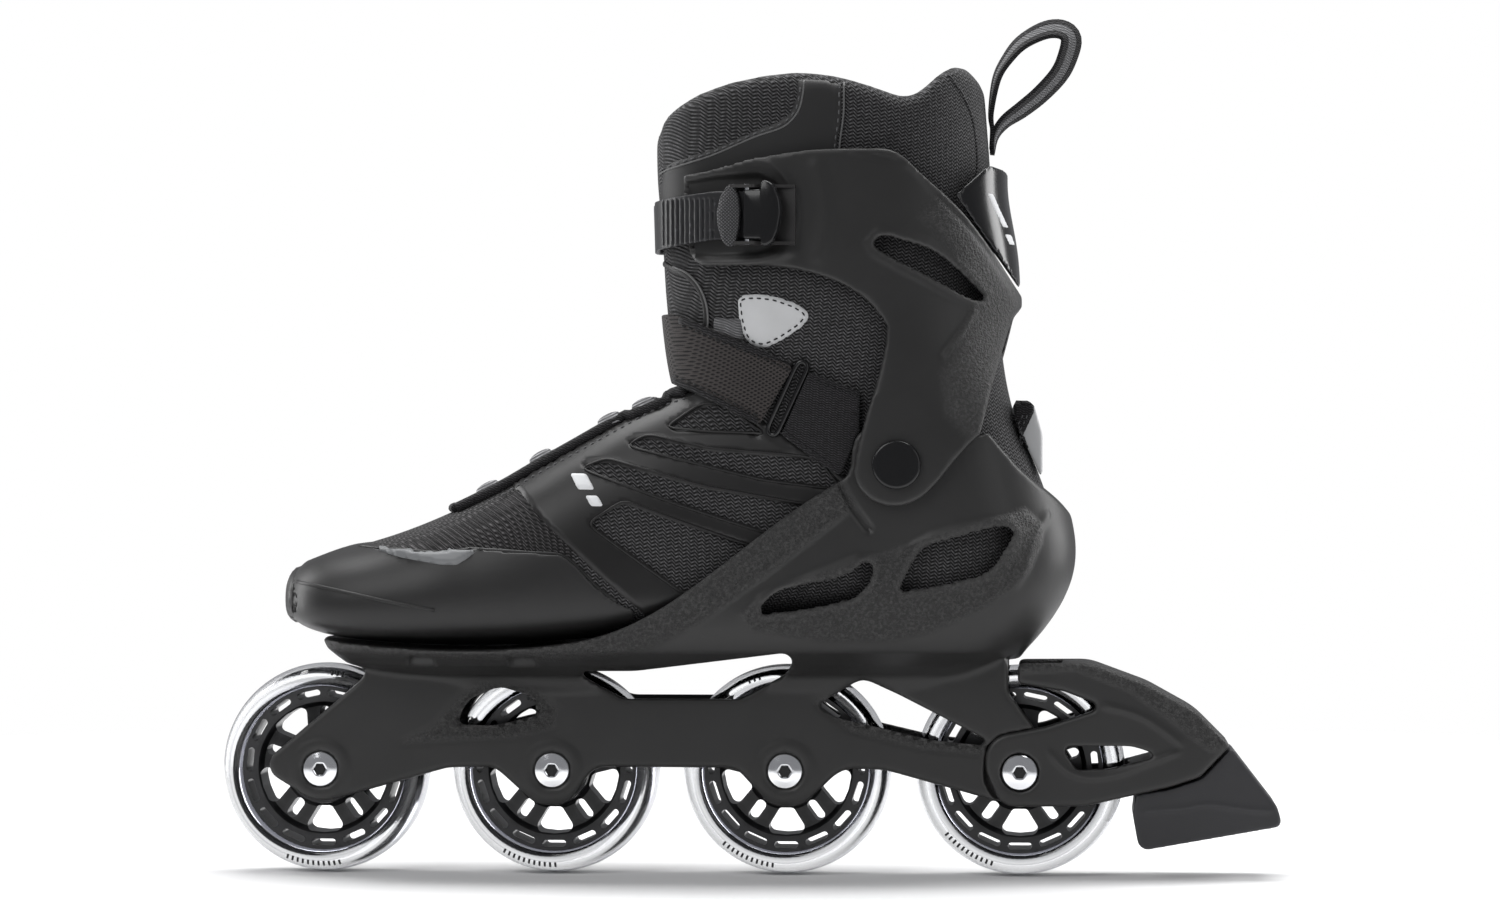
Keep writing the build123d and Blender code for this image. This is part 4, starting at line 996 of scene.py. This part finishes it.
# collar: smooth panel, its seams and stitches, and the flap's edge
collar_panel = [(-4.2, 242), (-3.6, 256), (-3, 268), (0, 271), (10, 273.2), (20, 276), (35, 282), (44, 285.2), (48.4, 288.6), (50, 294), (50.6, 301),
                (60, 300.8), (68, 299), (68, 288), (66.4, 276), (66, 262), (40, 256), (10, 256), (6, 242)]
for side, tag in ((-1, "lateral"), (1, "medial")):
    o = drape("collar_panel_" + tag, rounded(collar_panel, 1.6, 2), synth_mat, 0.7, 0.9, 0.4, side, 1.6)
    place(o, "cuff", "synthetic")
    o = stitches("collar_stitch_" + tag, smooth_path([(-2.6, 268.4), (0.6, 269.4), (10, 271.6), (20, 274.4), (35, 280.4), (45, 284), (50, 288.6), (51.8, 295), (52, 300)],
                                                     1.5), pale_thread, side, 0.85)
    place(o, "cuff", "webbing")
    o = stitches("collar_seam_" + tag, smooth_path([(66.4, 299), (66.4, 288), (65, 277), (64.6, 270)], 1.5), pale_thread, side, 0.85)
    place(o, "cuff", "webbing")
    # edge of the collar's front flap, down to the strap
    o = piping("flap_edge_" + tag, smooth_path([(-1.6, 233), (3, 230.4), (8, 228), (12.4, 223.6), (15, 218), (15.6, 212), (15.2, 205)], 1.6), synth_mat, 1.2, side, 0.3,
               False, 0.7)
    place(o, None, "synthetic")
    for tag2, line in (("front", [(-2.8, 267.2), (0.6, 268.2), (10, 270.4), (20, 273.2), (35, 279.2), (45.6, 282.8), (51.0, 288.2), (53, 295), (53.4, 300)]),
                       ("rear", [(68.2, 299), (68.2, 288), (66.8, 277), (66.4, 270)])):
        o = piping(f"collar_line_{tag2}_{tag}", smooth_path(line, 1.6), edge_mat, 0.36, side, 0.75, False, 0.8)
        place(o, "cuff", "synthetic")
    o = piping("flap_line_" + tag, smooth_path([(3, 231.6), (8.6, 229), (13.2, 224.2), (16, 218), (16.8, 212), (16.4, 206)], 1.6), edge_mat, 0.42, side, 1.1, False, 0.8)
    place(o, None, "synthetic")
    # seam at the back of the collar
    o = piping("collar_back_seam_" + tag, smooth_path([(106, 304), (112, 296), (116, 286), (117.5, 272), (117, 262)], 2), mesh_mat, 0.8, side, -0.1, False, 0.7)
    place(o, "cuff", "mesh_fabric")

# pale patch with its elastic loop
patch = [(27.5, 218.4), (30, 220.5), (35, 220.8), (42, 220), (50, 217.2), (54.6, 214.2), (55.4, 211.6), (52, 207.6), (45, 203), (40, 200.6), (37, 200),
         (33, 201.2), (30, 204.4), (28.2, 211)]
for side, tag in ((-1, "lateral"), (1, "medial")):
    o = drape("pale_patch_" + tag, rounded(patch, 1.0, 1), silver_mat, 0.9, 0.7, 0.4, side, 1.3)
    place(o, None, "reflective")
    o = stitches("patch_stitch_" + tag, rounded(grown(patch, -1.7), 1.0, 2), thread_mat, side, 1.15, 1.7, 1.3, 0.3, closed=True)
    place(o, None, "webbing")
    o = drape("elastic_loop_" + tag, rounded([(18.6, 212.4), (24, 211.6), (29.4, 211.8), (30, 205), (30.4, 202.6), (24, 203.6), (20, 204.6), (18, 208)], 1, 1), elastic_mat,
              1.5, 1.6, 0.4, side, 1.1)
    place(o, None, "webbing")

# generic mark on the ribs: two slanted bars
for k, c in enumerate(([(-35.5, 152.5), (-29, 152.5), (-25.5, 146.5), (-32, 146.5)], [(-29.5, 144.6), (-24.5, 144.6), (-22, 140.4), (-27, 140.4)])):
    o = drape(f"side_mark_{k}", rounded(c, 0.8, 1), print_mat, 2.3, 0.6, -0.9, -1, 0.9)
    place(o, "chassis", "printed_mark")

# laces: flat braid from edge to edge, crossing over the sunken tongue
lace_rows = [(-68, 147.4), (-47.5, 159.4), (-21.5, 172.8), (-8.5, 180)]


def over_top(x, y, lift):
    hit, normal, *_ = boot_tree.ray_cast(Vector((x * MM, y * MM, 0.200)), Vector((0, 0, -1)))
    return hit + normal * lift * MM, normal


def lace_run(name, a, b, lift, half, bridge=0.0, wide=2.7, flat=0.42):
    """One run of lace from side a of a row to side b of the next; a bridge keeps its ends' height across the gap."""
    co, nn = [], []
    for t in np.linspace(0, 1, 25):
        y = half * (a[1] + (b[1] - a[1]) * t)
        x = a[0] + (b[0] - a[0]) * t
        c, m = over_top(x, y, lift - 2.2 * max(0, abs(2 * t - 1) - 0.9) * 10)
        co.append(c)
        nn.append(m)
    if bridge:
        level = max(c.z for c in co[3:6])
        for k, t in enumerate(np.linspace(0, 1, 25)):
            if 3 < k < 21:
                co[k].z = max(co[k].z, level + bridge * MM * math.sin(math.pi * (k - 3) / 18))
    o = tube(name, co, wide, lace_mat, 16, False, flat, nn)
    return place(o, "chassis", "lace")


for k, (x, z) in enumerate(lace_rows):
    if k < 3:
        x2 = lace_rows[k + 1][0]
        first = lace_run(f"lace_cross_{k}_a", (x, -1), (x2, 1), 0.5, 16.5)
        if k == 0:
            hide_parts("laces")
        lace_run(f"lace_cross_{k}_b", (x, 1), (x2, -1), 1.5, 16.5)
    # the lace lies flat and double across the tongue at each row
    lace_run(f"lace_bar_{k}", (x, -1), (x, 1), 3.3, 19.5, 1.0, 4.6, 0.34)
    for side, tag in ((-1, "lateral"), (1, "medial")):
        # webbing loop that the lace turns through
        co, nn = [], []
        for t in np.linspace(0, 1, 9):
            c, m = over_top(x, side * (12.5 + 4.5 * t), 0.3 + 1.5 * math.sin(math.pi * (0.15 + 0.8 * t)))
            co.append(c)
            nn.append(m)
        place(tube(f"lace_loop_{k}_{tag}", co, 3.4, web_mat, 12, False, 0.2, nn), "chassis", "webbing")

# the binding runs round the toe end of the throat
co, nn = [], []
for t in np.linspace(-1, 1, 21):
    c, m = over_top(-80 - 3.5 * (1 - t * t), 18.5 * t, 1.3)
    co.append(c)
    nn.append(m)
place(tube("throat_end_binding", co, 2.4, web_mat, 12, False, 0.8, nn), "chassis", "webbing")

# rubber bumper round the toe's tip
bumper = [(26 * math.cos(a), 106.5 + 11.5 * math.sin(a)) for a in np.linspace(0, 2 * math.pi, 49)[:-1]]
o = drape("toe_bumper", bumper, toe_mat, 1.5, 3.0, 0.3, 0, 1.5, toe_tree)
place(o, "chassis", "toe_plastic")

# instep strap: woven band with bound edges
strap = soften("power_strap", strap_cloth, 0.55, 2)
settle(strap, "chassis")
anchor = soften("anchor_webbing", web_mat, 0.55, 2)
settle(anchor, "chassis")
bpy.context.view_layer.update()
strap_tree = tree_of(boot, strap, anchor)
for side, tag in ((-1, "lateral"), (1, "medial")):
    for k, line in enumerate(([(5, 211), (10, 209.6), (20, 205.2), (30, 201.2), (40, 197.2), (48.4, 193.4)], [(1.5, 188.6), (5, 187.2), (15, 183), (25, 178.2), (35.6, 172.6)])):
        line = smooth_path(line, 2)
        place(piping(f"strap_binding_{tag}_{k}", line, web_mat, 1.25, side, 0.15, False, 0.55, strap_tree), "chassis", "webbing")
        place(stitches(f"strap_stitch_{tag}_{k}", line + (0.5, -2.0 if k == 0 else 2.0), thread_mat, side, 0.5, 1.8, 1.1, 0.3, strap_tree), "chassis", "webbing")
    for k, line in enumerate(([(54.5, 190.8), (60, 188.6), (66, 186.4), (73, 183.6)], [(45, 167.8), (51, 163), (57, 158.8), (64, 154)])):
        place(stitches(f"anchor_stitch_{tag}_{k}", smooth_path(line, 2) + (0.4, -1.8 if k == 0 else 1.8), thread_mat, side, 0.45, 1.8, 1.1, 0.3, strap_tree), "chassis", "webbing")
    # wire ring between the strap and its anchor
    a, b = np.array([53.4, 195.4]), np.array([40.6, 167.6])
    t = (b - a) / np.linalg.norm(b - a)
    across = np.array([-t[1], t[0]])
    loop = []
    for centre, start in ((b - t * 2.2, 0.0), (a + t * 2.2, math.pi)):
        for q in np.linspace(0, math.pi, 9):
            w = start + q
            loop.append(centre + across * 2.2 * math.cos(w) * -1 + t * 2.2 * math.sin(w))
    loop = straight_path([tuple(v) for v in loop], 1.2)
    co, nn = on_surface(loop, side, 1.6, strap_tree)
    co = np.array([tuple(v) for v in co])
    for _ in range(5):
        co = 0.25 * np.roll(co, 1, 0) + 0.5 * co + 0.25 * np.roll(co, -1, 0)
    o = tube("wire_ring_" + tag, co, 1.0, gloss_mat, 12, True, 1.0, nn)
    place(o, "chassis", "bearing_steel", *(["strap_ring"] if side < 0 else []))

# pull loop: webbing with a paler ribbed centre, turned so that its face shows
loop_line = [(122.6, 277, 0), (122.9, 284, 0), (122.4, 291, 0.1), (124.6, 304, 0.3), (129, 312, 0.5), (134.5, 318, 0.7), (143, 322.4, 0.9), (149.6, 322.6, 1.0),
             (153, 319, 1.0), (151.4, 311.6, 0.9), (148, 305, 0.8), (141, 297.6, 0.7), (134, 292, 0.6), (127.6, 287.4, 0.4), (123.8, 282, 0.2), (122.8, 275, 0)]
mid = smooth_path(loop_line, 1.4)
for name, low, high, mat, thick in (("pull_loop_edge_a", -5.0, -2.3, web_mat, 0.85), ("pull_loop_centre", -2.6, 2.6, elastic_mat, 0.7), ("pull_loop_edge_b", 2.3, 5.0, web_mat, 0.85)):
    verts, faces = [], []
    n_mid = len(mid)
    for k in range(n_mid):
        a, b = mid[max(k - 1, 0)], mid[min(k + 1, n_mid - 1)]
        t = Vector((b[0] - a[0], 0, b[1] - a[1])).normalized()
        side_way = Vector((0, 1, 0))
        face = t.cross(side_way)
        turn = 0.75 * mid[k][2]
        w = side_way * math.cos(turn) + face * math.sin(turn)
        f = t.cross(w)
        c = Vector((mid[k][0], 0, mid[k][1]))
        for u, v in ((low, -thick), (low - 0.25, 0), (low, thick), (high, thick), (high + 0.25, 0), (high, -thick)):
            verts.append((c + w * u + f * v) * MM)
    for k in range(n_mid - 1):
        for i in range(6):
            j = (i + 1) % 6
            faces.append((k * 6 + i, k * 6 + j, (k + 1) * 6 + j, (k + 1) * 6 + i))
    faces += [tuple(reversed(range(6))), tuple(range((n_mid - 1) * 6, n_mid * 6))]
    o = new_object(name, verts, faces, mat)
    o.data.set_sharp_from_angle(angle=math.radians(50))
    place(o, "cuff", "webbing", *(["pull_loop"] if name == "pull_loop_centre" else []))

# heel: the pale counter carries a stitched black pad on each side
heel = bpy.data.objects["heel_tab_moulded"]
panel_back = bpy.data.objects["cuff_back_panel_moulded"]
heel_tree, panel_tree = tree_of(heel), tree_of(panel_back)
pad_line = [(127.4, 158), (131.6, 160.4), (135.6, 169), (139.6, 177.6), (138.6, 181.2), (136.6, 182.4), (131, 180), (127.4, 172)]
for side, tag in ((-1, "lateral"), (1, "medial")):
    o = drape("heel_pad_" + tag, rounded(pad_line, 1.0, 2), web_mat, 1.4, 1.2, 0.3, side, 1.0, heel_tree)
    place(o, "chassis", "webbing")
    for k, off in enumerate((1.6, 3.4)):
        line = smooth_path([(131.8 - off, 162.4), (135.4 - off, 169.6), (138.9 - off, 177.2)], 1.2)
        place(stitches(f"heel_stitch_{k}_{tag}", line, pale_thread, side, 1.5, 1.5, 1.0, 0.28, heel_tree), "chassis", "webbing")
    for k, c in enumerate(([(121.4, 258.6), (123.6, 258.6), (129.4, 246), (127.2, 246)], [(127.8, 243.6), (130.4, 243.6), (132, 239.6), (129.6, 239.6)])):
        # generic slanted bars on the back panel
        o = drape(f"panel_mark_{k}_{tag}", rounded(c, 0.6, 1), print_mat, 0.25, 0.3, 0.1, side, 0.6, panel_tree)
        place(o, "cuff", "printed_mark")


def buckle_slab(name, outline, low, high, bevel, dome, mat):
    """A domed piece with a bevelled edge, drawn across the buckle's face."""
    out = rounded(outline, 0.7, 2)
    mid = out.mean(axis=0)
    tilt = math.radians(11.0)
    rings = [(1.0, low), (1.0, high - bevel), (0.985, high - 0.45 * bevel), (0.95, high - 0.12 * bevel), (0.90, high), (0.72, high + dome * 0.45),
             (0.48, high + dome * 0.8), (0.24, high + dome * 0.95)]
    verts, faces, count = [], [], len(out)
    for scale, level in rings:
        for q in out:
            u, v = mid + (q - mid) * scale
            verts.append((39 + u * math.cos(tilt) - level * math.sin(tilt), -47.8 - u * math.sin(tilt) - level * math.cos(tilt), 249.6 + v))
    for r in range(len(rings) - 1):
        for k in range(count):
            n2 = (k + 1) % count
            faces.append((r * count + k, r * count + n2, (r + 1) * count + n2, (r + 1) * count + k))
    faces += [tuple(range((len(rings) - 1) * count, len(rings) * count)), tuple(reversed(range(count)))]
    o = new_object(name, [tuple(c * MM for c in v) for v in verts], faces, mat)
    bm = bmesh.new()
    bm.from_mesh(o.data)
    bmesh.ops.recalc_face_normals(bm, faces=bm.faces)
    bm.to_mesh(o.data)
    bm.free()
    o.data.set_sharp_from_angle(angle=math.radians(60))
    return o


cad["buckle_base"].data.materials.clear()
cad["buckle_base"].data.materials.append(rib_mat)
lever_outline = [(-6.1, -9.2), (0.7, -9.3), (0.9, -11.9), (2.8, -11.9), (5.0, -10.6), (7.2, -5.4), (8.3, 0.6), (7.8, 5.6), (5.4, 11.0), (3.0, 12.6), (0.9, 12.6),
                 (0.7, 9.3), (-6.1, 9.2)]
tab_outline = [(-12.4, -12.0), (-9.4, -11.2), (-8.0, -4), (-7.7, 1), (-8.3, 7), (-10.0, 10.4), (-12.6, 10.8), (-15.2, 6.8), (-16.6, 0.4), (-16.1, -4.6), (-14.4, -9.8)]
o = buckle_slab("lever_shell", lever_outline, 6.3, 9.6, 1.1, 0.5, gloss_mat)
place(o, "lever", "gloss_plastic", "buckle_lever")
o = buckle_slab("thumb_tab", tab_outline, 6.2, 8.9, 0.7, 0.7, knurl_mat)
place(o, "release", "gloss_plastic", "buckle_pawl")


# hexagon-socket heads of the axle bolts, with a shallow cone on top
for k, x in enumerate((-133.5, -44.5, 44.5, 133.5)):
    for side, tag in ((-1, "lateral"), (1, "medial")):
        seat = 16.95 if k == 3 else 15.65
        verts, faces, count = [], [], 48
        for radius, level, hexed in ((6.7, 0.2, 0), (6.7, 2.25, 0), (6.35, 2.6, 0), (4.6, 3.0, 0), (3.0, 3.35, 0), (2.7, 3.3, 0.7), (2.45, 3.1, 1), (2.4, 2.3, 1)):
            for q in range(count):
                a = 2 * math.pi * q / count
                r = radius * (1 - hexed + hexed * math.cos(math.pi / 6) / math.cos((a % (math.pi / 3)) - math.pi / 6))
                verts.append(((x + r * math.cos(a)) * MM, side * (seat + level) * MM, (40 + r * math.sin(a)) * MM))
        for r in range(7):
            for q in range(count):
                n2 = (q + 1) % count
                faces.append((r * count + q, r * count + n2, (r + 1) * count + n2, (r + 1) * count + q))
        faces += [tuple(range(7 * count, 8 * count)), tuple(reversed(range(count)))]
        o = new_object(f"axle_head_{k + 1}_{tag}", verts, faces, chrome_mat)
        bm = bmesh.new()
        bm.from_mesh(o.data)
        bmesh.ops.recalc_face_normals(bm, faces=bm.faces)
        bm.to_mesh(o.data)
        bm.free()
        # painted shade: the socket's walls and floor take the dark gloss material, darkening the recess
        o.data.materials.append(gloss_mat)
        for face in o.data.polygons:
            if max((o.data.vertices[v].co.y * side / MM - seat) for v in face.vertices) < 3.15 and face.center.x > (x - 2.6) * MM and abs(face.center.x - x * MM) < 2.6 * MM \
                    and abs(face.center.z - 0.040) < 2.6 * MM and min((o.data.vertices[v].co.y * side / MM - seat) for v in face.vertices) > 2.25:
                face.material_index = 1
        o.data.set_sharp_from_angle(angle=math.radians(25))
        place(o, "chassis", "chromed_steel")

# moulded tick marks round the tyres' sides
for k, x in enumerate((-133.5, -44.5, 44.5, 133.5)):
    tyre = cad[f"tyre_{k + 1}"]
    tyre_tree = tree_of(tyre)
    ticks = None
    for start, count in ((-112 - 9 * k, 11), (78 + 14 * k, 3)):
        for q in range(count):
            a = math.radians(start + 3.2 * q)
            line = [(x + r * math.cos(a), 40 + r * math.sin(a)) for r in (35.7, 36.6, 37.5)]
            co, nn = on_surface(line, -1, 0.05, tyre_tree)
            t = tube(f"tyre_ticks_{k + 1}", co, 0.42, print_mat if count == 3 else thread_mat, 8, False, 0.3, nn)
            ticks = join(ticks, t) if ticks else t
    place(ticks, f"wheel_{k + 1}", "printed_mark")


#END
# ------------------------------------------------------------------ floor
ring_verts = [(r * math.cos(a), r * math.sin(a), 0) for r in (0.25, 0.5, 0.75, 1.0) for a in np.linspace(0, 2 * math.pi, 97)[:-1]]
ring_faces = [tuple(reversed(range(96)))] + [(k * 96 + i, k * 96 + (i + 1) % 96, (k + 1) * 96 + (i + 1) % 96, (k + 1) * 96 + i) for k in range(3) for i in range(96)]
floor_mat = material("floor_paint", (0.86, 0.86, 0.87), 0.75)
n = Nodes(floor_mat)
n.put(n.b.inputs["Base Color"], n.mix(n.noise(3, 3), (0.87, 0.87, 0.875), (0.90, 0.90, 0.90)))
far = n.add("ShaderNodeVectorMath", Vector=n.coord)
far.operation = "LENGTH"
n.put(n.b.inputs["Alpha"], n.grey(far.outputs["Value"], (0.30, 1.0), (0.92, 0.0)))
floor = new_object("floor", ring_verts, ring_faces, floor_mat)
floor.location = (0.02, 0.05, -0.0004)
